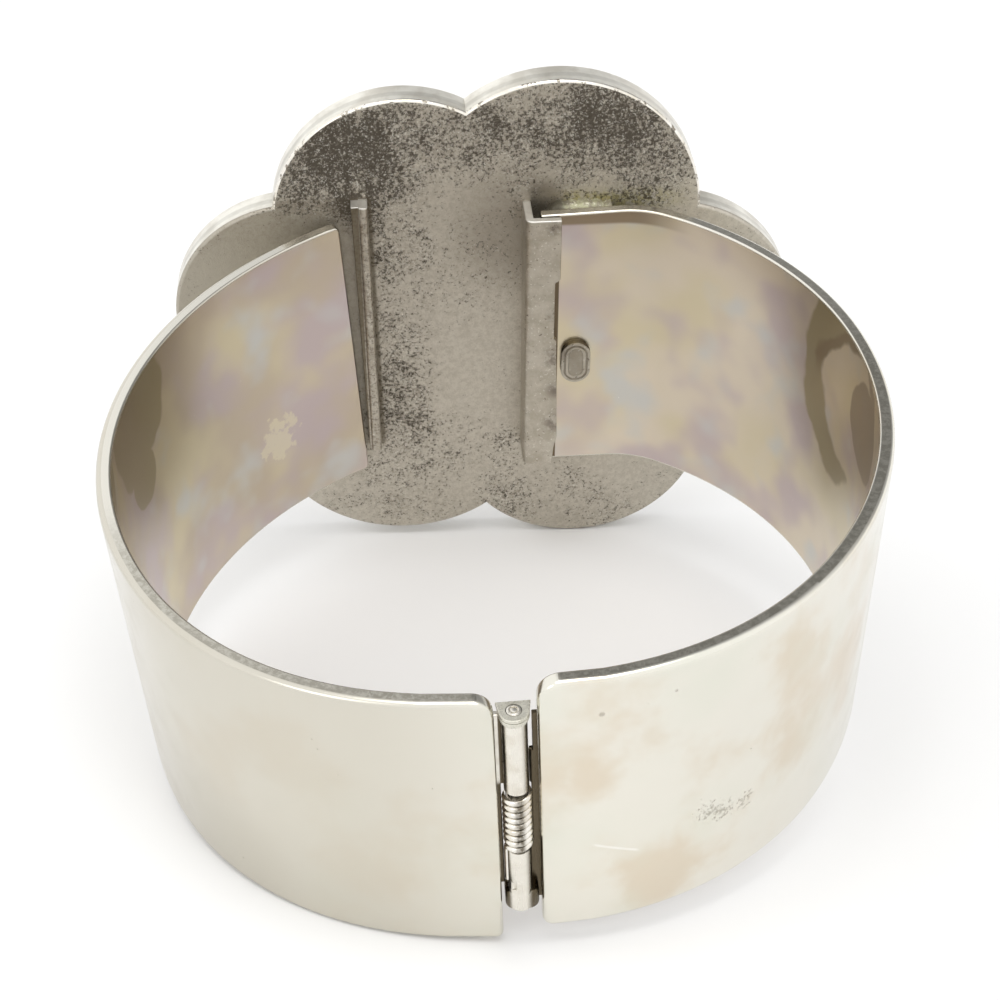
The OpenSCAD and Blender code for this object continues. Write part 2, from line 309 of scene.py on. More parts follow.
# %% Patterns that add and multiply
class Pattern:
    """What a node puts out. Its sums are Math nodes in the same tree."""

    def __init__(self, socket):
        self.socket, self.tree = socket, socket.id_data

    def math(self, operation, other=0):
        return node(self.tree, "Math", {"operation": operation}, _0=self, _1=other)[0]

    def __add__(self, other):
        return self.math("ADD", other)

    def __sub__(self, other):
        return self.math("SUBTRACT", other)

    def __mul__(self, other):
        return self.math("MULTIPLY", other)


def give(socket, value):
    """Joins a pattern to a socket, or sets the socket to a plain number or colour."""
    if isinstance(value, Pattern):
        socket.id_data.links.new(value.socket, socket)
    else:
        socket.default_value = value


def node(tree, kind, settings=None, **inputs):
    """Adds a node. An input is named, or numbered as in _0, and all it puts out comes back."""
    made = tree.nodes.new("ShaderNode" + kind)
    for name, value in (settings or {}).items():
        setattr(made, name, value)
    for name, value in inputs.items():
        give(made.inputs[int(name[1:]) if name[0] == "_" else name.replace("_", " ")], value)
    return [Pattern(socket) for socket in made.outputs]


# %% Places, clouds and steps
OBJECT_PLACE, MIXED_COLOUR = 3, 2  # which output of Texture Coordinate and of Mix is used


def level_place(finish, drawn_in=LEVEL):
    """Where a point is in the level band, or about the pin, in millimetres."""
    tree, laid = finish.node_tree, REST @ drawn_in
    place = node(tree, "TexCoord")[OBJECT_PLACE]
    return node(tree, "Mapping", {"vector_type": "TEXTURE"}, Vector=place, Scale=(MM, MM, MM),
                Location=laid.to_translation(), Rotation=laid.to_euler())[0]


def split(place):
    return node(place.tree, "SeparateXYZ", Vector=place)


def reckoned(place, operation, other=(0, 0, 0)):
    """Works on a place. Gives the new place and, for a distance or a length, the number."""
    return node(place.tree, "VectorMath", {"operation": operation}, _0=place, _1=other)


def cloud(place, size, detail=3, rough=0.5, shift=0):
    """Soft noise whose patches are about size millimetres across."""
    moved = reckoned(place, "ADD", (shift, shift, shift))[0]
    return node(place.tree, "TexNoise", Vector=moved, Scale=1 / size, Detail=detail,
                Roughness=rough)[0]


def between(value, low, high, start=0, end=1):
    """Turns low..high into start..end, smoothly, and holds it there outside."""
    return node(value.tree, "MapRange", {"interpolation_type": "SMOOTHSTEP"}, Value=value,
                From_Min=low, From_Max=high, To_Min=start, To_Max=end)[0]


def most(largest, *others):
    """The largest of several shares."""
    for other in others:
        largest = largest.math("MAXIMUM", other)
    return largest


def tinted(share, below, above):
    """One colour below and another above, by the share."""
    below, above = (c if isinstance(c, Pattern) else (*c, 1) for c in (below, above))
    return node(share.tree, "Mix", {"data_type": "RGBA"}, _0=share, _6=below,
                _7=above)[MIXED_COLOUR]


# %% [markdown]
# Two patterns lie at one place: a round spot that fades outwards, and an oval with a wavering
# outline. A bump turns a height into shading, for marks far too fine to model.

# %% Spots, ovals, bumps and a new finish
def spot(place, centre, reach, edge=0.5):
    """1 near a place in the level band and 0 further away than the reach, in millimetres."""
    return between(reckoned(place, "DISTANCE", centre)[1], reach * edge, reach, 1, 0)


def oval(place, ripple, y, z, deep, high):
    """1 inside an ellipse seen from the side of the level band. The ripple moves its outline."""
    away = reckoned(place, "SUBTRACT", (0, y, z))[0]
    scaled = reckoned(away, "MULTIPLY", (0, 1 / deep, 1 / high))[0]
    return between(reckoned(scaled, "LENGTH")[1] + ripple, 0.92, 1, 1, 0)


def bumped(shader, height):
    """Feeds a height in millimetres to the shader as a bump."""
    give(shader["Normal"], node(height.tree, "Bump", Height=height, Strength=1, Distance=MM)[0])


def new_finish(name, colour, metal, rough):
    finish = bpy.data.materials.new(name)
    finish.use_nodes = True
    finish.diffuse_color = (*colour, 1)
    shader = finish.node_tree.nodes["Principled BSDF"].inputs
    give(shader["Base Color"], (*colour, 1))
    give(shader["Metallic"], metal)
    give(shader["Roughness"], rough)
    return finish, shader


# %% [markdown]
# ### Polished plate
# The outside of both cuffs is bright plate. It is close to a mirror, so most of its look comes from
# what it reflects. What is its own is a faint gold and green tarnish in large soft patches, a
# little waviness left by the polishing, a few pits, one scratch and one corroded patch. The plate
# is also painted darker round the far left, and more on the left cuff than on the right one.

# %% Outside of the cuffs
GOLD, PLATE, GREENISH = (0.705, 0.63, 0.515), (0.78, 0.755, 0.68), (0.7, 0.715, 0.62)
LEFT_DARKER, RIM_REFLECTED_GREY = (0.57, 0.54, 0.465), (0.43, 0.41, 0.35)
EATEN, SCRATCHED = (0.3, 0.27, 0.22), (0.95, 0.94, 0.92)
LEFT_DARKER_SPOT, LEFT_DARKER_REACH = (-26, -19, -14), 28
# Each row: x, y and z in the level band, reach
TAN_SPOTS = ((-17, -27, 2, 7), (26, -17, -2, 9), (20, -24, 7, 6), (9, -29, -9, 6))
CORRODED = ((12.9, -28.1, -4.1, 2.4), (14.3, -27.5, -4.9, 2.6), (16.2, -26.5, -5.0, 2.2))
PIT_MARKS = (
    (4.0, -30.7, 9.8, 0.3), (-21.1, -24.3, 5.8, 0.45),
    (-26.2, -19.0, 3.0, 0.5), (9.5, -29.6, 10.5, 0.25),
)
SCRATCH_FROM, SCRATCH_TO = (3.7, -4.0), (7.6, -5.8)


def scratch(place):
    """A bright line between two places, given across and up, on the near side of the right cuff."""
    (x0, z0), (x1, z1) = SCRATCH_FROM, SCRATCH_TO
    x, y, z = split(place)
    aside = (z - (x - x0) * ((z1 - z0) / (x1 - x0)) - z0).math("ABSOLUTE")
    ends = between(x, x0, x0 + 0.5) * between(x, x1 - 0.5, x1, 1, 0)
    return between(aside, 0.05, 0.2, 0.5, 0) * ends * between(y, -20, -19, 1, 0)


def polished_outside():
    finish, shader = new_finish("polished_outside", PLATE, 1, 0.15)
    place = level_place(finish)
    crowd = cloud(place, 9, 4, 0.6)
    for *at, reach in TAN_SPOTS:
        crowd = crowd + spot(place, at, reach, 0.1) * 0.14
    green = between(cloud(place, 11, 3, 0.55, shift=40), 0.45, 0.75, 0, 0.5)
    colour = tinted(green, tinted(between(crowd, 0.46, 0.72), PLATE, GOLD), GREENISH)
    far_left = spot(place, LEFT_DARKER_SPOT, LEFT_DARKER_REACH, 0.1)
    # Painted darker round the far left, and more on the left cuff than on the right one.
    colour = tinted(most(far_left, between(split(place)[0], -14, 3, 0.75, 0)), colour, LEFT_DARKER)
    near = most(*[spot(place, at, reach, 0.1) for *at, reach in CORRODED])
    eaten = between(cloud(place, 0.4, 4, 0.7, shift=11) + near * 0.24, 0.7, 0.84, 0, 0.6)
    marks = most(*[spot(place, at, reach, 0.4) for *at, reach in PIT_MARKS])
    pits = between(cloud(place, 0.45, 1, 0.5, shift=77), 0.81, 0.84, 0, 0.5)
    dark = most(eaten, pits, marks * 0.5)
    colour = tinted(dark, colour, EATEN)
    give(shader["Base Color"], tinted(scratch(place), colour, SCRATCHED))
    haze = between(cloud(place, 4, 4, 0.6, shift=23), 0.3, 0.75, 0.14, 0.26)
    give(shader["Roughness"], haze + dark * 0.35)
    bumped(shader, cloud(place, 8, 1, 0.4, shift=5) * 0.05 - dark * 0.02)
    return finish


# %% Flat of the rims
def rim_painted_reflection():
    """A painted reflection: bright at the far left, and grey in front and all down the right."""
    finish, shader = new_finish("rim_painted_reflection", PLATE, 1, 0.24)
    place = level_place(finish)
    x, y, _ = split(place)
    grey = most(between(x, -4, 6), between(y, -15, -5, 1, 0))
    patchiness = between(cloud(place, 0.5, 4, 0.7, shift=15), 0.4, 0.62, 1, 0.6)
    grey = grey * (between(y, 2, 18, 1, 0.55) * patchiness)
    # Painted reflection: grey on the flat of the rim in front and down the right.
    give(shader["Base Color"], tinted(grey, PLATE, RIM_REFLECTED_GREY))
    return finish


OUTSIDE, RIM = polished_outside(), rim_painted_reflection()
print("finishes", OUTSIDE.name, RIM.name)

# %% [markdown]
# ### Tarnished inside
# The inside was never polished again after soldering. Heat and wear left it beige, with clouds of
# lavender, straw yellow and blue-grey that run into each other, and one pale crusted patch. The
# beige is lighter on the right than on the left, as painted light. The colours are laid over each
# other through clouds of their own. Where each side curves furthest out, painted reflections make
# it olive: in lobes on the left, and in a ring with a brown arch in it on the right. It is brown
# under the rim, and painted shade darkens the gap beside the folded channel.

# %% Inside of the cuffs
BEIGE_LEFT_SHADED, BEIGE_RIGHT_LIT, BARE = (0.545, 0.465, 0.365), (0.7, 0.62, 0.505), (0.9, 0.88, 0.84)
BROWN, OLIVE_REFLECTION, PALE_STAIN = (0.3, 0.235, 0.165), (0.39, 0.33, 0.21), (0.74, 0.68, 0.5)
GAP_SHADE = (0.15, 0.115, 0.075)
# Each row: colour, size of its clouds, their shift, where they start
TARNISHES = (
    ((0.66, 0.585, 0.41), 10, 3, 0.42), ((0.54, 0.455, 0.47), 8, 31, 0.44),
    ((0.59, 0.59, 0.57), 6, 57, 0.52),
)
# Each oval: y and z of its middle, half its depth, half its height
LEFT_REFLECTIONS = ((7.5, 9, 6.6, 5.6), (7.3, 2.9, 3.1, 2.9), (-3.5, 12.3, 3.2, 4))
RIGHT_REFLECTION_RING, REFLECTION_RING_HOLE = (8.8, 8.5, 6.8, 10.2), (5.0, 7.4, 7.4, 6.4)
REFLECTED_ARCH, RIGHT_BROWN_REFLECTION = (5.0, 7.4, 8.8, 7.3), (1.5, 8.6, 4.9, 4.2)
PALE_SPOT, PALE_REACH = (-20.1, 25.2, -7.0), 4.8


def tarnish_and_painted_reflections():
    finish, shader = new_finish("tarnish_and_painted_reflections", BEIGE_LEFT_SHADED, 1, 0.28)
    place = level_place(finish)
    x, y, z = split(place)
    # Painted light: the beige is lighter on the right cuff and darker on the left.
    colour = tinted(between(x, -8, 8), BEIGE_LEFT_SHADED, BEIGE_RIGHT_LIT)
    for tarnish, size, shift, start in TARNISHES:
        share = between(cloud(place, size, 2, 0.5, shift), start, start + 0.24, 0, 0.85)
        colour = tinted(share, colour, tarnish)
    specks = between(cloud(place, 0.45, 2, 0.5, shift=19), 0.78, 0.82, 0, 0.6)
    colour = tinted(specks, colour, BARE)
    crust = spot(place, PALE_SPOT, PALE_REACH, 0.2) + cloud(place, 1.1, 4, 0.6, shift=83) * 2.2
    colour = tinted(between(crust, 1.75, 2, 0, 0.6), colour, PALE_STAIN)
    # Painted reflections: olive lobes on the left, and on the right an olive ring with a brown arch and a
    # brown patch.
    ripple = (cloud(place, 3.5, 2, 0.5, shift=29) - 0.5) * 0.3
    on_right = between(x, -1, 1)
    left = most(*[oval(place, ripple, *shape) for shape in LEFT_REFLECTIONS]) - on_right
    hole = oval(place, ripple, *REFLECTION_RING_HOLE)
    ring = oval(place, ripple, *RIGHT_REFLECTION_RING) - hole
    colour = tinted(most(left, 0, ring * on_right) * 0.9, colour, OLIVE_REFLECTION)
    arch = (oval(place, ripple, *REFLECTED_ARCH) - hole) * between(z, 6.5, 9)
    brown = most(arch, oval(place, ripple, *RIGHT_BROWN_REFLECTION)) * on_right * 0.8
    colour = tinted(brown, colour, BROWN)
    behind_right = between(y, 20, 21) * between(x, 5, 5.5)
    under_rim = between(z, 12.9, 13.3) * between(x, 14, 20, 1, 0)
    colour = tinted(under_rim * behind_right, colour, BROWN)
    # Painted shade in the gap between the cuff and the lip of the folded channel.
    gap_shade = between(x, 7.28, 7.36, 1, 0)
    give(shader["Base Color"], tinted(gap_shade * behind_right, colour, GAP_SHADE))
    return finish


INSIDE = tarnish_and_painted_reflections()
print("finish", INSIDE.name)

# %% [markdown]
# ### Worn back of the flower
# The back of the flower is dull grey-brown plate. It is peppered with fine dark pits, which crowd
# together at the top and down the left, beside the stop strip, and leave the middle nearly clean. A
# table says where they crowd; the pits themselves are a fine noise, of which more gets through
# where they crowd, and pale flecks stand between them. A yellow-green stain creeps out of the
# solder along the right cuff's rim. Painted shade darkens the upper middle, a hollow by the top of
# the channel and both sides of the stop strip, with some grime on its right, and the left lobe is
# painted paler.

# %% Back of the flower
DULL, DEEP, PITTED = (0.47, 0.43, 0.362), (0.27, 0.238, 0.19), (0.075, 0.062, 0.046)
PALE, FLECK = (0.62, 0.58, 0.5), (0.76, 0.73, 0.66)
STAIN, SHADED = (0.43, 0.385, 0.2), (0.13, 0.105, 0.07)
BACK_Y = 32.3
PIT_SPOTS = (
    # x and z in the level band, reach, how crowded
    (-15, 19, 10, 0.2), (-12.5, 21.5, 5, 0.2), (-11, 16, 6, 0.06), (-7.7, 8, 6, 0.03),
    (-7.8, -5, 5, 0.07), (-7.6, -9, 4, 0.05), (-5, -13.5, 6, 0.08), (8, 23, 12, 0.15),
    (15, 21.5, 10, 0.15), (17, 15, 7, 0.08), (-3, 22, 10, 0.14), (3, -14.5, 4, 0.08),
    (-12.5, 14.5, 2.5, 0.2), (-8, -20, 10, 0.06), (3, -21, 6, 0.08), (11, -23, 10, 0.06),
    (-22, 6, 9, -0.1), (0, -5, 9, -0.06), (14, -17, 7, -0.08),
)
MOST_CROWDED, EVEN_CROWD, CLOSE_BY = 0.5, 0.085, (-9.6, -3.5)
PALER_LOBE_SPOT, SHADE_SPOT, HOLLOW_SPOT = (-25, BACK_Y, 4), (3.5, BACK_Y, 11), (6, BACK_Y, 14.6)


def crowding(place, x, z):
    """How much of the fine noise gets through as pits."""
    beside_stop = between(x, *CLOSE_BY, EVEN_CROWD, 0) * between(x, -11, -10.4)
    crowd = cloud(place, 3, 5, 0.65, shift=8) * 0.36 + 0.07 + beside_stop * between(z, -14, -10)
    for spot_x, spot_z, reach, more in PIT_SPOTS:
        crowd = crowd + spot(place, (spot_x, BACK_Y, spot_z), reach, 0) * more
    return crowd.math("MINIMUM", MOST_CROWDED)


def shade_and_grime_by_strip(x, z):
    """A dark line down the right of the stop strip, painted shadow with grime, and fainter painted shade on
    its left.
    """
    darkening = between(x + z * 0.012, -10.32, -9.97, 0.75, 0) * between(x, -12.2, -11.4, 0.45, 1)
    return darkening * between(z, -13.9, -13.3) * between(z, 15.2, 15.7, 1, 0)


def worn_and_shaded_back():
    finish, shader = new_finish("worn_and_shaded_back", DULL, 0.85, 0.42)
    place = level_place(finish)
    x, _, z = split(place)
    crowd = crowding(place, x, z)
    colour = tinted(between(crowd, 0.18, 0.6), DULL, DEEP)
    mottle = between(cloud(place, 0.5, 5, 0.8, shift=21), 0.36, 0.62, 0, 0.6)
    colour = tinted(mottle, colour, PALE)
    # Painted paler round the left lobe.
    colour = tinted(spot(place, PALER_LOBE_SPOT, 10, 0.3) * 0.75, colour, PALE)
    # Painted shade over the upper middle of the back.
    colour = tinted(spot(place, SHADE_SPOT, 9, 0.2) * 0.7, colour, DEEP)
    above_rim = between(z, 12.8, 13.8) * between(z, 14.4, 15.8, 1, 0)
    beside = between(x, 6, 9) * between(x, 14, 21, 1, 0)
    ragged = between(cloud(place, 0.7, 4, 0.7, shift=44), 0.36, 0.56)
    stained = above_rim * beside * ragged
    colour = tinted(stained, colour, STAIN)
    grain = cloud(place, 0.26, 4, 0.75, shift=63)
    pits = between(grain + (crowd + stained * 0.1), 0.83, 0.97, 0, 0.9)
    colour = tinted(pits, colour, PITTED)
    flecks = between(cloud(place, 0.2, 3, 0.7, shift=91), 0.56, 0.68, 0, 0.8)
    colour = tinted(flecks * between(crowd, 0.26, 0.34), colour, FLECK)
    # Painted shade in a hollow by the top of the channel, and beside the stop strip.
    hollow = spot(place, HOLLOW_SPOT, 2.6, 0.3) * 0.5
    give(shader["Base Color"], tinted(most(shade_and_grime_by_strip(x, z), hollow), colour, SHADED))
    give(shader["Roughness"], pits * 0.3 + 0.4)
    bumped(shader, grain * 0.03 - pits * 0.03)
    return finish


# %% [markdown]
# The side wall is paler than the back, with one painted shade line round it, and the back edge of
# the upper lobes is rubbed bright.

# %% Side wall and bright edge
WALL_PALE, WALL_GREY, WALL_SHADE_LINE = (0.8, 0.78, 0.71), (0.6, 0.57, 0.5), (0.25, 0.24, 0.2)
EDGE_PALE, EDGE_GOLD = (0.88, 0.85, 0.79), (0.78, 0.73, 0.62)


def side_wall():
    finish, shader = new_finish("side_wall", (0.74, 0.71, 0.64), 0.6, 0.3)
    place = level_place(finish)
    _, y, _ = split(place)
    tone = between(cloud(place, 3, 4, 0.6, shift=17), 0.35, 0.65)
    # Painted shade: one grey line round the side wall.
    shade_line = between(y, 33.1, 33.5) * between(y, 33.9, 34.2, 0.3, 0)
    give(shader["Base Color"], tinted(shade_line, tinted(tone, WALL_PALE, WALL_GREY), WALL_SHADE_LINE))
    return finish


def bright_edge():
    finish, shader = new_finish("bright_edge", (0.86, 0.83, 0.76), 1, 0.2)
    place = level_place(finish)
    tone = between(cloud(place, 2.5, 3, 0.6, shift=2), 0.35, 0.7)
    pits = between(cloud(place, 0.9, 4, 0.65, shift=48), 0.54, 0.62)
    give(shader["Base Color"], tinted(pits, tinted(tone, EDGE_PALE, EDGE_GOLD), EATEN))
    give(shader["Roughness"], between(cloud(place, 1.5, 4, 0.6), 0.3, 0.7, 0.16, 0.34))
    bumped(shader, cloud(place, 2.2, 2, 0.5, shift=6) * 0.05 - pits * 0.03)
    return finish


BACK, EDGE, SIDE = worn_and_shaded_back(), bright_edge(), side_wall()
print("finishes", BACK.name, EDGE.name, SIDE.name)

# %% [markdown]
# ### Channel and stop strip
# The folded channel and the stop strip are the same plate as the flower, but rubbed, so they carry
# pale flecks. Their top ends carry a painted highlight, and painted shade darkens the inside of the
# channel's fold and the low flank of the stop strip.

# %% Rubbed strip
STRIP_GREY, STRIP_PALE, STRIP_FLECK = (0.43, 0.39, 0.32), (0.57, 0.53, 0.455), (0.78, 0.76, 0.7)
STRIP_PITS, STRIP_SHADE, STRIP_HIGHLIGHT = (0.2, 0.17, 0.14), (0.14, 0.115, 0.075), (0.86, 0.84, 0.79)
# Each row: x and z in the level band, reach
STRIP_STAINS = ((7.2, -1, 2.2), (7.1, -5, 1.4), (6.8, 4, 1.2), (6.6, 13.6, 1.0), (7, -9, 1.6))
LIP_Y = 28.4


def rubbed_strip_with_painted_light():
    finish, shader = new_finish("rubbed_strip_with_painted_light", (0.55, 0.51, 0.44), 0.9, 0.36)
    place = level_place(finish)
    x, y, z = split(place)
    tone = between(cloud(place, 1.8, 5, 0.65), 0.35, 0.68)
    pale = between(cloud(place, 0.28, 3, 0.6, shift=13), 0.6, 0.7, 0, 0.7)
    colour = tinted(pale, tinted(tone, STRIP_GREY, STRIP_PALE), STRIP_FLECK)
    dark = between(cloud(place, 0.45, 4, 0.6, shift=71), 0.62, 0.7)
    for stain_x, stain_z, reach in STRIP_STAINS:
        near = spot(place, (stain_x, LIP_Y, stain_z), reach, 0.1)
        dark = most(dark, near * between(tone, 0.1, 0.8, 0.9, 0.2))
    worn_fold = between(cloud(place, 0.35, 4, 0.7, shift=29), 0.47, 0.62, 0, 0.75)
    colour = tinted(most(dark, worn_fold * between(x, -10.2, -10, 1, 0)), colour, STRIP_PITS)
    # Painted shade on the stop strip's low flank and inside the channel's fold.
    flank = between(x, -11.62, -11.5, 0.85, 0)
    channel_recess_shade = between(x, 4.66, 4.72) * between(y, 29.1, 29.3)
    colour = tinted(most(flank, channel_recess_shade), colour, STRIP_SHADE)
    # Painted highlight on the top ends of the channel and the stop strip.
    web_top_highlight = between(z, 14.2, 14.38) * between(x, -1, 1)
    colour = tinted(most(between(z, 15.1, 15.2), web_top_highlight), colour, STRIP_HIGHLIGHT)
    give(shader["Base Color"], colour)
    give(shader["Roughness"], between(tone, 0, 1, 0.3, 0.46))
    bumped(shader, cloud(place, 0.5, 4, 0.6, shift=71) * 0.08)
    return finish


# %% [markdown]
# ### Hinge and solder
# The hinge is satin steel, drawn along its length, and the spring is bright wire. Each is darkened
# in places of its own about the pin: painted shade runs down the sides of the barrels and over the
# leaves, and the coil is darker along its front. Where the solder ran out above the cuff, it turned
# green, and it is painted in near-black shade where it lies inside the channel.

# %% Satin steel and wire
HINGE_DARK = (0.105, 0.085, 0.055)


def barrel_side_shade(place, x, z):
    """Painted shade down both sides of the barrels and over the leaves, but not high on the left leaf."""
    ragged = z + cloud(place, 0.8, 3, 0.6, shift=4)
    clean = between(x, -1.2, -1.12, 1, 0) * between(ragged, 2.6, 3.4)
    left = between(x, -0.95, -0.6, 1, 0) - clean
    return most(left, between(x, 0.35, 0.92)) * between(z, 9.3, 9.5, 1, 0)


def wire_darkening(place, x, z):
    """Darker along the front of the coil."""
    ragged = between(cloud(place, 0.3, 2, 0.5), 0.3, 0.6, 0.4, 0.9)
    return between((x - 0.1).math("ABSOLUTE"), 0.1, 0.55, 1, 0) * ragged


def satin_steel(name, colour, rough, dirt, darkening, metal=1):
    finish, shader = new_finish(name, colour, metal, rough)
    place = level_place(finish)
    drawn = node(place.tree, "Mapping", Vector=place, Scale=(3, 3, 0.3))[0]
    grain = node(place.tree, "TexNoise", Vector=drawn, Scale=1, Detail=3)[0]
    tone = between(cloud(place, 1.4, 2, 0.5, shift=33), 0.4, 0.75)
    x, _, z = split(level_place(finish, HINGE))
    # Painted shade on the barrels and leaves, and the darker front of the coil, come from the function
    # passed in.
    give(shader["Base Color"], tinted(darkening(place, x, z), tinted(tone, colour, dirt), HINGE_DARK))
    give(shader["Roughness"], between(grain, 0.3, 0.7, rough - 0.05, rough + 0.1))
    return finish


STEEL = satin_steel("satin_steel", (0.77, 0.74, 0.67), 0.24, (0.68, 0.64, 0.56), barrel_side_shade)
PLATE_STEEL = satin_steel("plate_steel", (0.64, 0.62, 0.54), 0.25, (0.5, 0.48, 0.4), barrel_side_shade,
                          metal=0.6)
WIRE = satin_steel("bright_wire", (0.84, 0.81, 0.75), 0.18, (0.7, 0.65, 0.56), wire_darkening)
print("finishes", STEEL.name, PLATE_STEEL.name, WIRE.name)

# %% Green solder
SOLDER_BROWN, SOLDER_GREEN = (0.3, 0.27, 0.2), (0.47, 0.46, 0.3)
SOLDER_PALE, SOLDER_SHADE = (0.72, 0.7, 0.55), (0.06, 0.05, 0.035)


def green_solder():
    finish, shader = new_finish("green_solder", (0.5, 0.49, 0.36), 0.5, 0.5)
    place = level_place(finish)
    share = between(cloud(place, 0.7, 4, 0.65), 0.4, 0.6)
    pale = between(cloud(place, 0.35, 3, 0.6, shift=9), 0.55, 0.68)
    colour = tinted(pale, tinted(share, SOLDER_BROWN, SOLDER_GREEN), SOLDER_PALE)
    # Painted shade: near black where the solder lies inside the channel, by the web.
    shade_by_the_web = between(split(place)[0], 7.2, 8.6, 0.9, 0)
    give(shader["Base Color"], tinted(shade_by_the_web, colour, SOLDER_SHADE))
    bumped(shader, cloud(place, 0.3, 4, 0.6) * 0.12)
    return finish


STRIP, SOLDER = rubbed_strip_with_painted_light(), green_solder()
print("finishes", STRIP.name, SOLDER.name)

# %% [markdown]
# ### Enamel
# The front is hidden in the photograph, so it gets plain enamel of a usual kind: ivory petals that
# warm towards the middle, and an amber centre. Enamel is glass over metal, so it is a smooth
# non-metal with a clear coat, and only its colour wanders a little.

# %% Ivory and amber enamel
ENAMEL_MIDDLE = (0.3, 34, -0.2)


def enamel(name, colour, warm, reach):
    finish, shader = new_finish(name, colour, 0, 0.12)
    give(shader["Coat Weight"], 0.6)
    give(shader["Coat Roughness"], 0.05)
    place = level_place(finish)
    wander = between(cloud(place, 1.6, 3, 0.5), 0.2, 0.75, 0.3, 1)
    veined = spot(place, ENAMEL_MIDDLE, reach, 0.35) * wander
    give(shader["Base Color"], tinted(veined, colour, warm))
    bumped(shader, cloud(place, 5, 1, 0.4) * 0.08)
    return finish


IVORY = enamel("ivory_enamel", (0.86, 0.81, 0.7), (0.72, 0.45, 0.16), 17)
AMBER = enamel("amber_enamel", (0.62, 0.25, 0.03), (0.86, 0.5, 0.09), 6)
print("finishes", IVORY.name, AMBER.name)

# %% [markdown]
# ## The two cuffs
# A cuff is one strip of sheet, rolled by hand to an uneven round: four arcs that flow into each
# other. It could be a curve with a thickness, but a spin is closer to rolling. A short slab beside
# the hinge is the start, and its end face is spun round the centre of each arc in turn. Each
# centre lies on the line through the last one, so the arcs share a tangent.

# %% Spin a strip round its arcs
SHEET_T, HINGE_DEPTH, STRETCH, TALL = 1.3, 31.0, 3.0, 20.0
RADIUS, SWEEP = 0, 1
RIGHT_ARCS = ((30.3, 50.4), (36.4, 47.8), (30.6, 48.1), (9.5, 33.7))
LEFT_ARCS = ((41.3, 15.2), (28.3, 48.9), (34.5, 52.2), (35.5, 38.7))
RIGHT_END = 5.45


def rolled_strip(name, arcs, side):
    """Side is 1 for the right cuff and -1 for the left. Ends in edit mode, far end selected."""
    near_x, far_x = sorted((-STRETCH * side, 0))
    strip = block(name, (near_x, -HINGE_DEPTH, -TALL), (far_x, SHEET_T - HINGE_DEPTH, TALL))
    edit(strip)
    pick("FACE", lambda face: face.normal.x * side > 0.9)
    centre, turned = Vector((0, arcs[0][RADIUS] - HINGE_DEPTH)), 0
    for number, (radius, sweep) in enumerate(arcs):
        if number:
            out = math.radians(turned)
            centre += (arcs[number - 1][RADIUS] - radius) * Vector((math.sin(out), -math.cos(out)))
        bpy.ops.mesh.spin(steps=round(sweep / 2), angle=-side * math.radians(sweep),
                          center=mm(side * centre.x, centre.y, 0), axis=(0, 0, 1))
        turned += sweep
    print(name, "turns through", round(turned, 1), "degrees")
    return strip


# %% [markdown]
# The rims are cut after the rolling, because the band is a little taller at the flower than at the
# hinge. Then comes the slanted hinge edge. Its two corners are rounded by a bevel of the short edge
# across the sheet, and last every edge is broken and polished: one bevel round the whole outline.

# %% Cut the rims, the hinge edge and its corners
HALF_HEIGHT, TAPER = 13.875, 0.0226
RIM_ROUND, INNER_ROUND = 0.5, 0.2
CLEAR_OF_CUT = 3.6


def height(edge):
    return abs(edge.verts[0].co.z - edge.verts[1].co.z) / MM


def cut_rims():
    for up in (1, -1):
        cut_off(mm(0, 0, up * HALF_HEIGHT), Vector((0, -TAPER, up)))


def cut_hinge_edge(side, edge_x):
    """The rolling marks close to the cut are dissolved, because the cut would cross them."""
    cut_off(HINGE @ mm(edge_x, 0, 0), HINGE.to_3x3() @ Vector((-side, 0, 0)))

    def from_cut(place):
        return side * (HINGE.inverted() @ (place * MM)).x / MM - side * edge_x

    marks = pick("EDGE", lambda edge: height(edge) > 5 and middle(edge).y < 0
                 and 0.02 < from_cut(middle(edge)) < CLEAR_OF_CUT)
    bpy.ops.mesh.dissolve_edges(use_verts=True)
    print("dissolved", marks, "rolling marks beside the hinge")


def round_corner(side, edge_x, radius, up):
    """Up is 1 for the top corner beside the hinge and -1 for the bottom one."""
    def on_cut(corner):
        return abs((HINGE.inverted() @ corner.co).x / MM - side * abs(edge_x)) < 0.02

    pick("EDGE", lambda edge: all(on_cut(corner) for corner in edge.verts)
         and middle(edge).z * up > 5 and height(edge) < 0.5)
    bevel(radius, 12)


def hollow_side(face):
    turned_in = abs(face.normal.z) < 0.3 and face.normal.dot(middle(face)) < -3
    return turned_in and face.calc_area() > 2 * MM ** 2


def round_rims():
    """The edges round the hollow side are rounded less than the others."""
    pick("EDGE", lambda edge: edge.calc_face_angle(0) > 0.55
         and not any(hollow_side(face) for face in edge.link_faces))
    bevel(RIM_ROUND, 5)
    soften(INNER_ROUND, 3)


def inside_or_out(cuff):
    """The wall's hollow side takes the second finish and the flat of the rim the third."""
    painted(cuff, OUTSIDE, lambda face: True)
    painted(cuff, INSIDE, hollow_side)
    painted(cuff, RIM, lambda face: face.normal.z > 0.985)


# %% [markdown]
# The right cuff runs on straight behind the flower, into the folded channel, and its top rim dips
# a little there. The dip is a translate with a soft falloff round the end of the rim.

# %% The right cuff
RIGHT_EDGE = 1.62
RIM_DIP, DIP_REACH = 0.35, 11


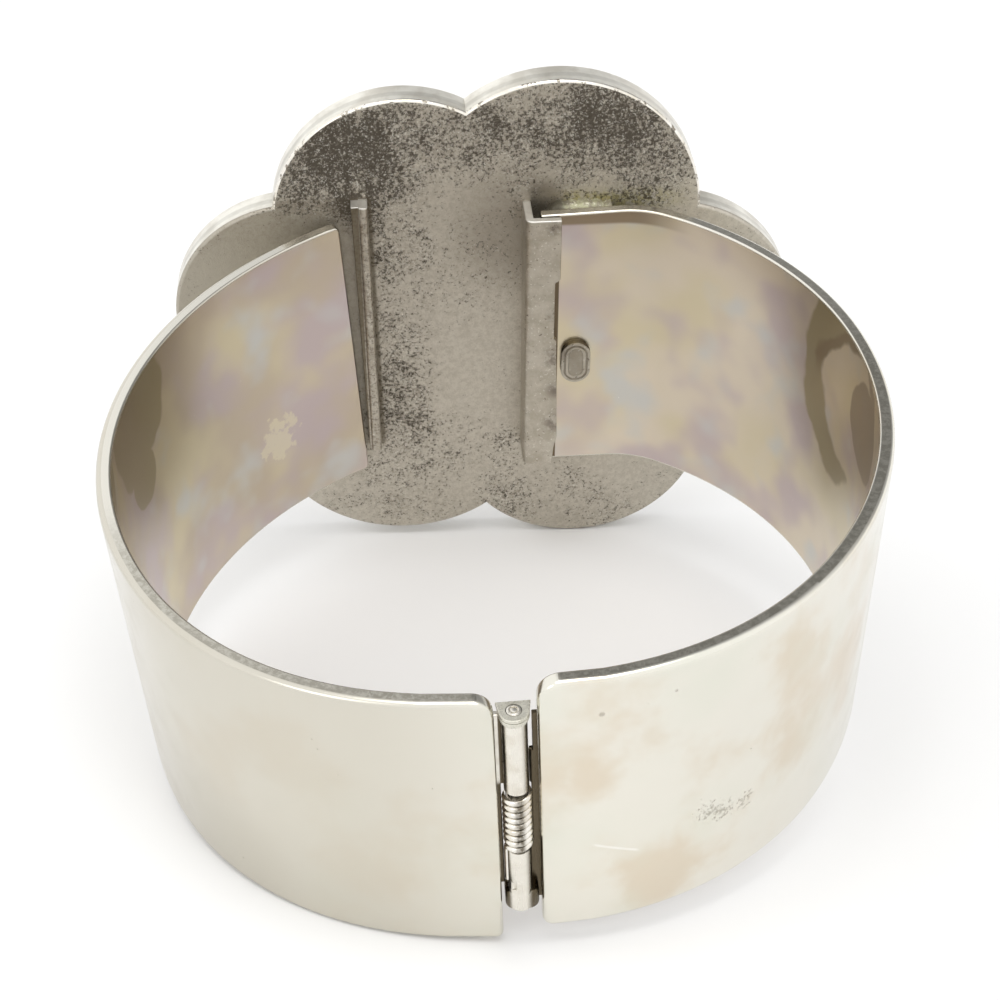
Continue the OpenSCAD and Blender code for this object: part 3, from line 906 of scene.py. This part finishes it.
def make_right_cuff():
    cuff = rolled_strip("right_cuff_wall", RIGHT_ARCS, 1)
    shape = bmesh.from_edit_mesh(cuff.data)
    end_x = min(middle(face).x for face in shape.faces if face.select)
    draw_out(RIGHT_END - end_x, 0, 0)
    cut_rims()
    cut_hinge_edge(1, RIGHT_EDGE)
    round_corner(1, RIGHT_EDGE, 1.8, 1)
    round_corner(1, RIGHT_EDGE, 0.9, -1)
    round_rims()
    far_corner = mm(8, 20, 14)
    pick("VERT", lambda corner: corner.co.x < far_corner.x and corner.co.y > far_corner.y
         and corner.co.z > far_corner.z)
    bpy.ops.transform.translate(value=mm(0, 0, -RIM_DIP), use_proportional_edit=True,
                                proportional_size=DIP_REACH * MM,
                                proportional_edit_falloff="SMOOTH")
    done()
    inside_or_out(cuff)
    lay_down(cuff, LEVEL, None, "fixed_half", "right_cuff")


make_right_cuff()

# %% [markdown]
# The left cuff is the same strip the other way round. On the real bangle it sits a little lower
# than the right one, turned and rolled about the hinge, so it is put in that pose after its rims
# are cut and before its hinge edge is, because the hinge edge follows the pin.

# %% The left cuff
LEFT_EDGE = -1.45
LEFT_DROP, LEFT_YAW, LEFT_ROLL, LEFT_PITCH = 1.43, 1.1, 3.22, 0.72


def left_pose():
    about_pin = Matrix.Translation(PIN_SPOT)
    turn = Euler([math.radians(a) for a in (LEFT_PITCH, -LEFT_ROLL, LEFT_YAW)])
    turn = turn.to_matrix().to_4x4()
    return Matrix.Translation(mm(0, 0, -LEFT_DROP)) @ about_pin @ turn @ about_pin.inverted()


def make_left_cuff():
    cuff = rolled_strip("left_cuff_wall", LEFT_ARCS, -1)
    cut_rims()
    done()
    cuff.matrix_world = left_pose()
    edit(settled(cuff))
    cut_hinge_edge(-1, LEFT_EDGE)
    round_corner(-1, LEFT_EDGE, 1.5, 1)
    round_corner(-1, LEFT_EDGE, 0.6, -1)
    round_rims()
    done()
    inside_or_out(cuff)
    lay_down(cuff, LEVEL, None, "left_half", "left_cuff")


make_left_cuff()

# %% [markdown]
# ## The hinge
# Two knuckles of rolled steel stand one above the other on the pin, each with a leaf that is
# soldered inside its cuff. They are drawn upright round the pin. The barrels could be lathed, but
# a cylinder with its ends rounded and its leaf joined on is what a rolled knuckle looks like.

# %% The upper knuckle
KNUCKLE_R, BORE_R, LEAF_FRONT = 0.94, 0.5, 0.45
UPPER, LOWER = (2.3, 9.45), (-10.7, -4.1)


def rolled_knuckle(name, span, roll_x, leaf_x, leaf_z):
    """A barrel, the strip that it is rolled from and the taller leaf, as (low, high) spans."""
    low, high = span
    barrel = rod(name, KNUCKLE_R, (0, 0, (low + high) / 2), high - low)
    for (left, right), (foot, top) in ((roll_x, span), (leaf_x, leaf_z)):
        leaf = block("leaf", (left, LEAF_FRONT, foot), (right, KNUCKLE_R, top))
        drill(barrel, leaf, "UNION")
    drill(barrel, rod("bore", BORE_R, (0, 0, (low + high) / 2), high - low + 2))
    return barrel


def make_upper_knuckle():
    barrel = rolled_knuckle("upper_knuckle", UPPER, (-2.7, 0), (-2.7, -1.12), (-8.8, 9.45))
    edit(barrel)
    soften(0.1)
    done()
    lay_down(barrel, HINGE, STEEL, "left_half", "left_cuff")


make_upper_knuckle()

# %% [markdown]
# The lower knuckle stands on a wider foot. It is sawn for the leg of the spring and has a small
# square hole that the leg hooks into.

# %% The lower knuckle
SLOT = ((-1.2, -0.32, -8.2), (-0.58, 0.32, 0))
HOOK_HOLE = ((-0.85, -1.2, -8.35), (-0.35, -0.55, -7.6))
FOOT, FOOT_TOP = ((-1.19, -0.8, -10.7), (1.42, 0.94, -8.9)), -8.85
LEAF_STEPS = (
    ((1.12, LEAF_FRONT, -10.7), (1.4, KNUCKLE_R, 5.6)), ((0.99, 0.55, 2.15), (1.3, 0.84, 5.6)),
)


def make_lower_knuckle():
    barrel = rolled_knuckle("lower_knuckle", LOWER, (0, 4.3), (1.28, 4.3), (-10.7, 9.3))
    for step in LEAF_STEPS:
        drill(barrel, block("leaf_step", *step), "UNION")
    foot = block("foot", *FOOT)
    edit(foot)
    pick("EDGE", lambda edge: middle(edge).y < 0 and abs(middle(edge).x - 0.115) > 1)
    bevel(0.8, 8)
    for low, high, width in ((-11, -10.65, 0.2), (-8.95, -8.8, 0.35)):
        pick("EDGE", lambda edge: low < middle(edge).z < high and middle(edge).y < 0.9)
        bevel(width, 4)
    done()
    drill(foot, rod("bore", BORE_R, (0, 0, -10), 4))
    drill(barrel, foot, "UNION")
    drill(barrel, block("slot", *SLOT))
    drill(barrel, block("hook_hole", *HOOK_HOLE))
    edit(barrel)
    pick("EDGE", lambda edge: edge.calc_face_angle(0) > 0.5 and middle(edge).z > FOOT_TOP)
    bevel(0.08, 2)
    done()
    lay_down(barrel, HINGE, STEEL, "fixed_half", "right_cuff")


make_lower_knuckle()

# %% [markdown]
# A small plate closes the top of the upper knuckle, flat behind and round in front, over two thin
# washers. Each starts as a disc: its back half is cut off and the cut face is drawn straight back.

# %% The end plate and its washers
PLATE_LAYERS = (
    # name, radius in front, low, high, half width behind
    ("end_plate", 1.12, 9.98, 10.3, 1.28),
    ("upper_washer", 1.12, 9.72, 9.93, 1.22),
    ("lower_washer", 1.04, 9.45, 9.67, 1.16),
)


def make_end_plate():
    layers = []
    for name, radius, low, high, half_width in PLATE_LAYERS:
        layer = rod(name, radius, (0, 0, (low + high) / 2), high - low)
        edit(layer)
        cut_off(mm(0, 0, 0), Vector((0, 1, 0)))
        pick("FACE", lambda face: face.normal.y > 0.9)
        draw_out(0, KNUCKLE_R, 0)
        bpy.ops.transform.resize(value=(half_width / radius, 1, 1), center_override=(0, 0, 0))
        soften(0.08)
        done()
        layers.append(layer)
    plate = joined(layers)
    drill(plate, rod("pin_hole", 0.6, (0, 0, 10), 2))
    lay_down(plate, HINGE, PLATE_STEEL, "left_half", "left_cuff")


make_end_plate()

# %% [markdown]
# The pin is a plain rod. Its head on top is spread like a rivet, with a ring round a small dome,
# which three insets and three short extrudes give. The other end is only rounded over.

# %% The pin
PIN_R, PIN_LOW, NECK = 0.45, -11.1, 9.9
HEAD_R, HEAD_TALL = 0.55, 0.4
HEAD_RINGS = ((0.12, 0.06), (0.1, -0.12), (0.08, 0.1))  # inset, rise


def make_pin():
    pin = rod("riveted_pin", PIN_R, (0, 0, (NECK + PIN_LOW) / 2), NECK - PIN_LOW, 48)
    head = rod("head", HEAD_R, (0, 0, NECK + HEAD_TALL / 2), HEAD_TALL, 48)
    edit(head)
    pick("FACE", lambda face: face.normal.z > 0.9)
    for inset, rise in HEAD_RINGS:
        bpy.ops.mesh.inset(thickness=inset * MM)
        draw_out(0, 0, rise)
    soften(0.03, 2)
    done()
    edit(pin)
    soften(0.15)
    done()
    pin = joined([pin, head])
    lay_down(pin, HINGE, STEEL, "fixed_half", "hinge_pin")


make_pin()

# %% [markdown]
# The spring is one wire. A small circle is drawn where the wire crosses the plane of the pin, and
# the Screw modifier winds it up round the pin: half a turn at a time, seventeen times. Its lowest
# end is then drawn down as the leg that lies in the lower knuckle's slot.

# %% The coil spring
WIRE_R, COIL_R, COIL_LOW, COIL_HIGH = 0.27, 0.87, -3.68, 1.78
HALF_TURNS, LEG_LOW, LEG_BEND, BEND_STEPS = 17, -7.7, 0.5, 4
LEG_SWING = LEG_BEND / COIL_R


def make_spring():
    bpy.ops.object.select_all(action="DESELECT")
    here = Vector((-COIL_R, 0, COIL_LOW))
    bpy.ops.mesh.primitive_circle_add(vertices=12, radius=WIRE_R * MM, location=here * MM,
                                      rotation=(math.pi / 2, 0, 0))
    wire = started("coil_spring")
    screw = wire.modifiers.new("wind", "SCREW")
    screw.angle, screw.iterations = math.pi, HALF_TURNS
    screw.screw_offset = (COIL_HIGH - COIL_LOW) / HALF_TURNS * MM
    screw.steps = screw.render_steps = 16
    bpy.ops.object.modifier_apply(modifier=screw.name)
    edit(wire)
    pick("EDGE", lambda edge: edge.is_boundary and middle(edge).z > 0)
    bpy.ops.mesh.edge_face_add()
    pick("EDGE", lambda edge: edge.is_boundary)
    step = math.pi / 2 / BEND_STEPS
    for number in range(1, BEND_STEPS + 1):
        angle = math.pi - LEG_SWING * math.sin(number * step)
        there = Vector((COIL_R * math.cos(angle), COIL_R * math.sin(angle),
                        COIL_LOW - LEG_BEND * (1 - math.cos(number * step))))
        draw_out(*there - here)
        bpy.ops.transform.rotate(value=step, orient_axis="X", center_override=there * MM)
        here = there
    draw_out(0, 0, LEG_LOW - here.z)
    bpy.ops.mesh.edge_face_add()
    bpy.ops.mesh.select_all(action="SELECT")
    bpy.ops.mesh.normals_make_consistent(inside=False)
    done()
    wire.matrix_world = Matrix.Rotation(LEG_SWING, 4, "Z")
    lay_down(wire, HINGE, WIRE, "fixed_half", "hinge_spring", sharper_than=60)


make_spring()

# %% [markdown]
# ## The oval tag
# A plain oval is soldered inside the right cuff, close to the channel. On the real one a small
# raised line runs round its face; nothing else is put on it.

# %% The oval tag
TAG_X, TAG_Z, TAG_W, TAG_STRAIGHT = 9.1, -2.3, 2.9, 1.75
TAG_FACE_Y, TAG_ROOT_Y = 29.14, 30.3
TAG_RINGS = ((0.28, 0.07), (0.16, -0.07), (0.3, 0.05))  # inset, rise


def make_oval_tag():
    tag = disc("oval_tag", TAG_W / 2, TAG_X, TAG_Z, TAG_FACE_Y, TAG_ROOT_Y, sides=48)
    edit(tag)
    for up in (1, -1):
        pick("VERT", lambda corner: (corner.co.z / MM - TAG_Z) * up > 0.01)
        push(0, 0, up * TAG_STRAIGHT / 2)
    pick("FACE", lambda face: face.normal.y < -0.9)
    for inset, rise in TAG_RINGS:
        bpy.ops.mesh.inset(thickness=inset * MM)
        draw_out(0, rise, 0)
    soften(0.05, 2)
    done()
    lay_down(tag, LEVEL, STRIP, "fixed_half", "right_cuff")


make_oval_tag()

# %% [markdown]
# ## The flower
# The flower's outline is six arcs that meet in notches. A single point, started at one notch, is
# spun round the middle of each lobe to the next notch, which draws the outline exactly. Filled and
# drawn forward, it becomes the plate; inset and sunk from the front, it becomes the tray.

# %% The outline of six lobes
LOBES = (
    ("petal_top_left", -7.3, 12.9, 12.4),
    ("petal_top_right", 7.2, 12.9, 13.8),
    ("petal_right", 18.0, 0.6, 12.95),
    ("petal_bottom_right", 10.0, -13.6, 12.95),
    ("petal_bottom_left", -7.9, -10.7, 14.3),
    ("petal_left", -17.8, 2.9, 11.9),
)
FLOWER_MIDDLE = Vector((0.3, -0.2))
HUB = mm(FLOWER_MIDDLE.x, 0, FLOWER_MIDDLE.y)
FRONT_Y = 35.5


def notch(number):
    """Where a lobe's circle crosses the next one's, on the outside of the flower."""
    _, ax, az, ar = LOBES[number % 6]
    _, bx, bz, br = LOBES[(number + 1) % 6]
    span = Vector((bx - ax, bz - az))
    along = (span.length_squared + ar * ar - br * br) / (2 * span.length)
    aside = math.sqrt(ar * ar - along * along)
    step = span.normalized()
    return Vector((ax, az)) + along * step + aside * Vector((-step.y, step.x))


def lobe_sweep(number):
    """How far the outline turns round a lobe, clockwise as the wrist sees it."""
    _, x, z, _ = LOBES[number]
    start, end = notch(number - 1) - Vector((x, z)), notch(number) - Vector((x, z))
    return (math.atan2(start.y, start.x) - math.atan2(end.y, end.x)) % (2 * math.pi)


turns = [round(math.degrees(lobe_sweep(number))) for number in range(6)]
print("lobes turn through", turns, "degrees")

# %% [markdown]
# The tray is drawn from the outline, with its back edge broken. The side wall has its own finish,
# and so has the back edge of the two upper lobes, which is rubbed bright. The back keeps the dull,
# pitted one.

# %% The tray
RIM_W, TRAY_DEEP, EDGE_ROUND = 1.2, 2.0, 0.34


def flower_outline(name):
    bpy.ops.object.select_all(action="DESELECT")
    start = notch(-1)
    bpy.ops.mesh.primitive_plane_add(size=MM, location=mm(start.x, BACK_Y, start.y))
    outline = started(name)
    edit(outline)
    pick("VERT", lambda corner: True)
    bpy.ops.mesh.merge(type="CENTER")
    for number, (_, x, z, _) in enumerate(LOBES):
        turn = lobe_sweep(number)
        bpy.ops.mesh.spin(steps=max(12, round(math.degrees(turn) / 2.5)), angle=-turn,
                          center=mm(x, BACK_Y, z), axis=(0, 1, 0))
    bpy.ops.mesh.select_all(action="SELECT")
    bpy.ops.mesh.remove_doubles(threshold=0.02 * MM)
    bpy.ops.mesh.edge_face_add()
    return outline


def rubbed(place):
    """Only the upper two lobes have a bright back edge."""
    return place.z > 6 and -19.6 < place.x < 21


def make_tray():
    tray = flower_outline("flower_tray")
    draw_out(0, FRONT_Y - BACK_Y, 0)
    bpy.ops.mesh.inset(thickness=RIM_W * MM)
    draw_out(0, -TRAY_DEEP, 0)
    bpy.ops.mesh.select_all(action="SELECT")
    bpy.ops.mesh.normals_make_consistent(inside=False)
    pick("EDGE", lambda edge: abs(middle(edge).y - BACK_Y) < 0.01)
    bevel(EDGE_ROUND, 4)
    pick("EDGE", lambda edge: abs(middle(edge).y - FRONT_Y) < 0.01
         and edge.calc_face_angle(0) > 0.5)
    bevel(0.3, 3)
    done()
    painted(tray, BACK, lambda face: True)
    painted(tray, EDGE, lambda face: middle(face).y > BACK_Y + 0.02 and rubbed(middle(face)))
    painted(tray, SIDE, lambda face: middle(face).y > BACK_Y + EDGE_ROUND)
    lay_down(tray, LEVEL, None, "fixed_half", "flower_plaque")


make_tray()

# %% [markdown]
# Ribs part the petals and a ring holds the centre. They are low strips of the tray's own metal,
# rounded on top, and one joined piece. The ring starts as a disc whose face is inset and sunk.

# %% Ribs and centre ring
CENTRE_R, RING_W, RIB_W, RIB_DROP, GAP = 6.4, 0.8, 0.8, 0.3, 0.05


def rib_angle(number):
    out = notch(number) - FLOWER_MIDDLE
    return math.atan2(out.y, out.x)


def make_ribs():
    low, high = FRONT_Y - TRAY_DEEP - 0.1, FRONT_Y - RIB_DROP
    ring = disc("ribs_and_ring", CENTRE_R + GAP + RING_W, *FLOWER_MIDDLE, low, high)
    edit(ring)
    pick("FACE", lambda face: face.normal.y > 0.9)
    bpy.ops.mesh.inset(thickness=RING_W * MM)
    draw_out(0, low - high + 0.1, 0)
    soften(0.2)
    done()
    parts = [ring]
    for number in range(6):
        length = (notch(number) - FLOWER_MIDDLE).length - RIM_W / 2
        rib = block("rib", (CENTRE_R + 0.4, low, -RIB_W / 2), (length, high, RIB_W / 2))
        turn = Matrix.Rotation(-rib_angle(number), 4, "Y")
        rib.matrix_world = Matrix.Translation(HUB) @ turn
        edit(settled(rib))
        soften(0.2)
        done()
        parts.append(rib)
    ribs = joined(parts)
    lay_down(ribs, LEVEL, SIDE, "fixed_half", "flower_plaque")


make_ribs()

# %% [markdown]
# ## Enamel petals and centre
# Enamel is filled in as powder and melted, so it stands as a low cushion between its walls. Each
# petal is a disc of its lobe, whose inner half is drawn out towards the ring. Its face is inset and
# raised in rings, so that it crowns, and it is then cut along its two ribs and round the ring.

# %% The six petals
ENAMEL_DROP, TOWARDS_RING = 0.45, 2.5
PETAL_RINGS = ((0.5, 0.14), (1.0, 0.08), (1.5, 0.05), (2.0, 0.03))  # inset, rise


def crown(rings):
    """Insets the front face and raises it, ring by ring."""
    pick("FACE", lambda face: face.normal.y > 0.9)
    for inset, rise in rings:
        bpy.ops.mesh.inset(thickness=inset * MM)
        push(0, rise, 0)


def make_petal(number):
    name, x, z, radius = LOBES[number]
    back, front = FRONT_Y - TRAY_DEEP + GAP, FRONT_Y - ENAMEL_DROP
    petal = disc(name + "_enamel", radius - RIM_W - GAP, x, z, back, front)
    inwards = (HUB - mm(x, 0, z)).normalized()
    edit(petal)
    pick("VERT", lambda corner: (corner.co - mm(x, 0, z)).dot(inwards) > 0.01 * MM)
    push(*inwards * TOWARDS_RING)
    crown(PETAL_RINGS)
    for rib, side in ((number, -1), (number - 1, 1)):
        angle = rib_angle(rib)
        beyond = Vector((-math.sin(angle), 0, math.cos(angle))) * side
        cut_off(HUB - beyond * (RIB_W / 2 + GAP) * MM, beyond)
    done()
    ring = disc("ring_cut", CENTRE_R + RING_W + 2 * GAP, *FLOWER_MIDDLE, back - 1, FRONT_Y + 1)
    drill(petal, ring)
    lay_down(petal, LEVEL, IVORY, "fixed_half", name, sharper_than=50)


for number in range(6):
    make_petal(number)

# %% [markdown]
# The centre is a low round cushion of amber enamel, inset and raised in four rings.

# %% The centre
CENTRE_RINGS = ((0.5, 0.14), (1.2, 0.13), (1.8, 0.08), (1.6, 0.03))


def make_centre():
    back, front = FRONT_Y - TRAY_DEEP + GAP, FRONT_Y - RIB_DROP - 0.2
    centre = disc("amber_centre", CENTRE_R, *FLOWER_MIDDLE, back, front)
    edit(centre)
    crown(CENTRE_RINGS)
    done()
    lay_down(centre, LEVEL, AMBER, "fixed_half", "flower_centre", sharper_than=60)


make_centre()

# %% [markdown]
# ## Channel, stop strip and solder
# The right cuff's end slides into a folded strip. It starts as the web, and the lip is extruded
# from its near edge, so the fold can be rounded as one edge. The lip's right side is uneven, with
# a shallow bite in it, and narrows towards the bottom.

# %% The folded channel
STRIP_T, CHANNEL_X, CHANNEL_W = 0.75, 3.95, 3.35
CHANNEL_LOW, CHANNEL_TOP = -14.2, 14.4
LIP_MARKS = (7.9, 7.5, 1.2, 0.9, 0.2, -10.8, -12.2)
# Each row: low, high, move
LIP_MOVES = ((1.0, 7.7, -0.5), (0.1, 1.0, -0.25), (-14.3, -10.9, -0.3), (-14.3, -12.3, -0.15))


def make_channel():
    web = block("folded_channel", (CHANNEL_X, LIP_Y, CHANNEL_LOW),
                (CHANNEL_X + STRIP_T, BACK_Y + 0.1, CHANNEL_TOP))
    edit(web)
    cut_at = LIP_Y + STRIP_T
    score(mm(0, cut_at, 0), (0, 1, 0))
    pick("FACE", lambda face: face.normal.x > 0.9 and middle(face).y < cut_at)
    draw_out(CHANNEL_W - STRIP_T, 0, 0)
    for mark in LIP_MARKS:
        score(mm(0, 0, mark), (0, 0, 1))
    lip_edge = CHANNEL_X + CHANNEL_W
    for low, high, move in LIP_MOVES:
        pick("VERT", lambda corner: corner.co.x / MM > lip_edge - 1
             and low < corner.co.z / MM < high)
        push(move, 0, 0)
    pick("EDGE", lambda edge: abs(middle(edge).x - CHANNEL_X) < 0.01
         and abs(middle(edge).y - LIP_Y) < 0.01)
    bevel(0.7, 6)
    soften(0.09)
    done()
    lay_down(web, LEVEL, STRIP, "fixed_half", "flower_plaque")


make_channel()

# %% [markdown]
# The stop strip is folded sheet: the round of the fold stands out in front, and a lower flank lies
# dark beside it. Both lean, and narrow downwards, which comes from moving the corners of a block.

# %% The stop strip
STOP_FOLD = (((-11.55, 15.3), (-10.7, 15.3)), ((-11.4, -13.1), (-10.4, -13.1)))
STOP_FLANK = (((-12.25, 15.2), (-11.4, 15.2)), ((-11.6, -13.0), (-11.3, -13.0)))
FOLD_DEEP, FLANK_DEEP = 1.8, 1.4


def leaning_strip(name, corners, deep, round_off):
    (top_left, top_right), (low_left, low_right) = corners
    strip = block(name, (-12, BACK_Y - deep, -12), (-11, BACK_Y + 0.1, 12))
    edit(strip)
    for at_x, at_z, (x, z) in ((-12, 12, top_left), (-11, 12, top_right),
                               (-12, -12, low_left), (-11, -12, low_right)):
        pick("VERT", lambda corner: abs(corner.co.x / MM - at_x) < 0.01
             and abs(corner.co.z / MM - at_z) < 0.01)
        push(x - at_x, 0, z - at_z)
    pick("EDGE", lambda edge: middle(edge).y < BACK_Y - 0.5 and abs(middle(edge).z) < 5)
    bevel(round_off, 5)
    soften(0.05)
    done()
    return strip


def make_stop_strip():
    fold = leaning_strip("stop_strip", STOP_FOLD, FOLD_DEEP, 0.36)
    strip = joined([fold, leaning_strip("flank", STOP_FLANK, FLANK_DEEP, 0.08)])
    lay_down(strip, LEVEL, STRIP, "fixed_half", "flower_plaque")


make_stop_strip()

# %% [markdown]
# Solder fills the space between the end of the cuff and the flower. What shows is a ragged fillet
# above the rim. It is a bar, cut into short lengths whose ridge is moved up and down by a fixed
# list of steps.

# %% The solder
SOLDER_BAR = ((4.8, 31.1, -12.9), (12.3, 32.4, 14.3))
SOLDER_RIDGE = (-1.6, -1.4, -0.9, -0.3, 0.1, -0.1, 0.15, -0.05, 0.2, 0.0, 0.1, -0.3)


def make_solder():
    bar = block("solder", *SOLDER_BAR)
    edit(bar)
    low, high = SOLDER_BAR[0][0], SOLDER_BAR[1][0]
    count = len(SOLDER_RIDGE)
    for number in range(1, count):
        score(mm(low + (high - low) * number / count, 0, 0), (1, 0, 0))
    for number, rise in enumerate(SOLDER_RIDGE):
        at_x = low + (high - low) * number / count
        pick("VERT", lambda corner: corner.co.z / MM > 14 and abs(corner.co.x / MM - at_x) < 0.05)
        push(0, 0, rise)
    pick("EDGE", lambda edge: middle(edge).z > 12 and abs(middle(edge).y - SOLDER_BAR[0][1]) < 0.01)
    bevel(0.6, 4)
    done()
    lay_down(bar, LEVEL, SOLDER, "fixed_half", "flower_plaque", sharper_than=60)


make_solder()

# %% [markdown]
# ## Floor, light and camera
# The photograph is a white product shot with almost no shadow. Polished metal shows its whole
# surroundings, so they matter more than the lamps: a white floor, a bright sky that is darker
# high up behind on the right, which the rims show as a grey line, and large soft lamps.

# %% Floor
def make_floor():
    bpy.ops.object.select_all(action="DESELECT")
    bpy.ops.mesh.primitive_plane_add(size=6, location=(0, 0, 0))
    floor = started("floor")
    finish, shader = new_finish("white_floor", (0.9, 0.9, 0.9), 0, 0.8)
    give(shader["Specular IOR Level"], 0.1)
    floor.data.materials.append(finish)
    floor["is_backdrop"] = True


make_floor()

# %% Sky and lamps
SKY, SKY_DARK = (1.19, 1.19, 1.19), (0.32, 0.32, 0.32)
GENERATED = 0  # which output of Texture Coordinate is used
LAMPS = (
    # name, place in m, aims at, width in m, power in W
    ("overhead", (0.0, -0.25, 0.9), (0, 0, 0.02), 0.6, 2.4),
    ("front_left", (-0.7, -0.7, 0.6), (0, 0, 0.02), 0.5, 0.8),
)


def make_light():
    world = bpy.data.worlds.new("pale_studio")
    bpy.context.scene.world = world
    world.use_nodes = True
    background = world.node_tree.nodes["Background"].inputs
    x, y, z = split(node(world.node_tree, "TexCoord")[GENERATED])
    behind_right = between(y, -0.3, 0.5) * between(x, -0.3, 0.05)
    high_up = behind_right * between(z, 0.15, 0.5)
    give(background["Color"], tinted(high_up, SKY, SKY_DARK))
    for name, place, aim, width, power in LAMPS:
        bpy.ops.object.light_add(type="AREA", location=place)
        lamp = bpy.context.object
        lamp.name = name
        lamp.data.shape, lamp.data.size, lamp.data.energy = "DISK", width, power
        lamp.rotation_euler = (Vector(aim) - Vector(place)).to_track_quat("-Z", "Y").to_euler()


make_light()

# %% [markdown]
# The camera stands where the photographer's did: about 29 degrees above the hinge and a little to
# its left, close enough that the near side looms. Its place and lens come from fitting the outline
# of both cuffs and the flower to the photograph.

# %% Camera
CAMERA_SPOT = Vector((-12.201, -143.002, 103.125)) * MM
CAMERA_TURN = Euler([math.radians(a) for a in (60.6683, -1.0123, -4.4876)])
LENS_MM, SENSOR_MM = 68.195, 36.0

bpy.ops.object.camera_add(location=CAMERA_SPOT, rotation=CAMERA_TURN)
camera = bpy.context.object
camera.name = "photograph_camera"
camera.data.lens, camera.data.sensor_width = LENS_MM, SENSOR_MM
camera.data.clip_start = 0.005
bpy.context.scene.camera = camera
bpy.context.scene.view_settings.view_transform = "Standard"
print("camera at", [round(v, 3) for v in camera.location])

# %% [markdown]
# ## The two boxes
# The box of the CAD model and the box of what was made here are printed side by side.
# Nothing made here may reach outside the solids.

# %% Print both boxes
boxes = {"cad": [list(corner) for corner in CAD_BOX], "visual": [list(corner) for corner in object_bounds()]}
for name, box in boxes.items():
    print(name, "box in mm", [in_mm(corner, 2) for corner in box])
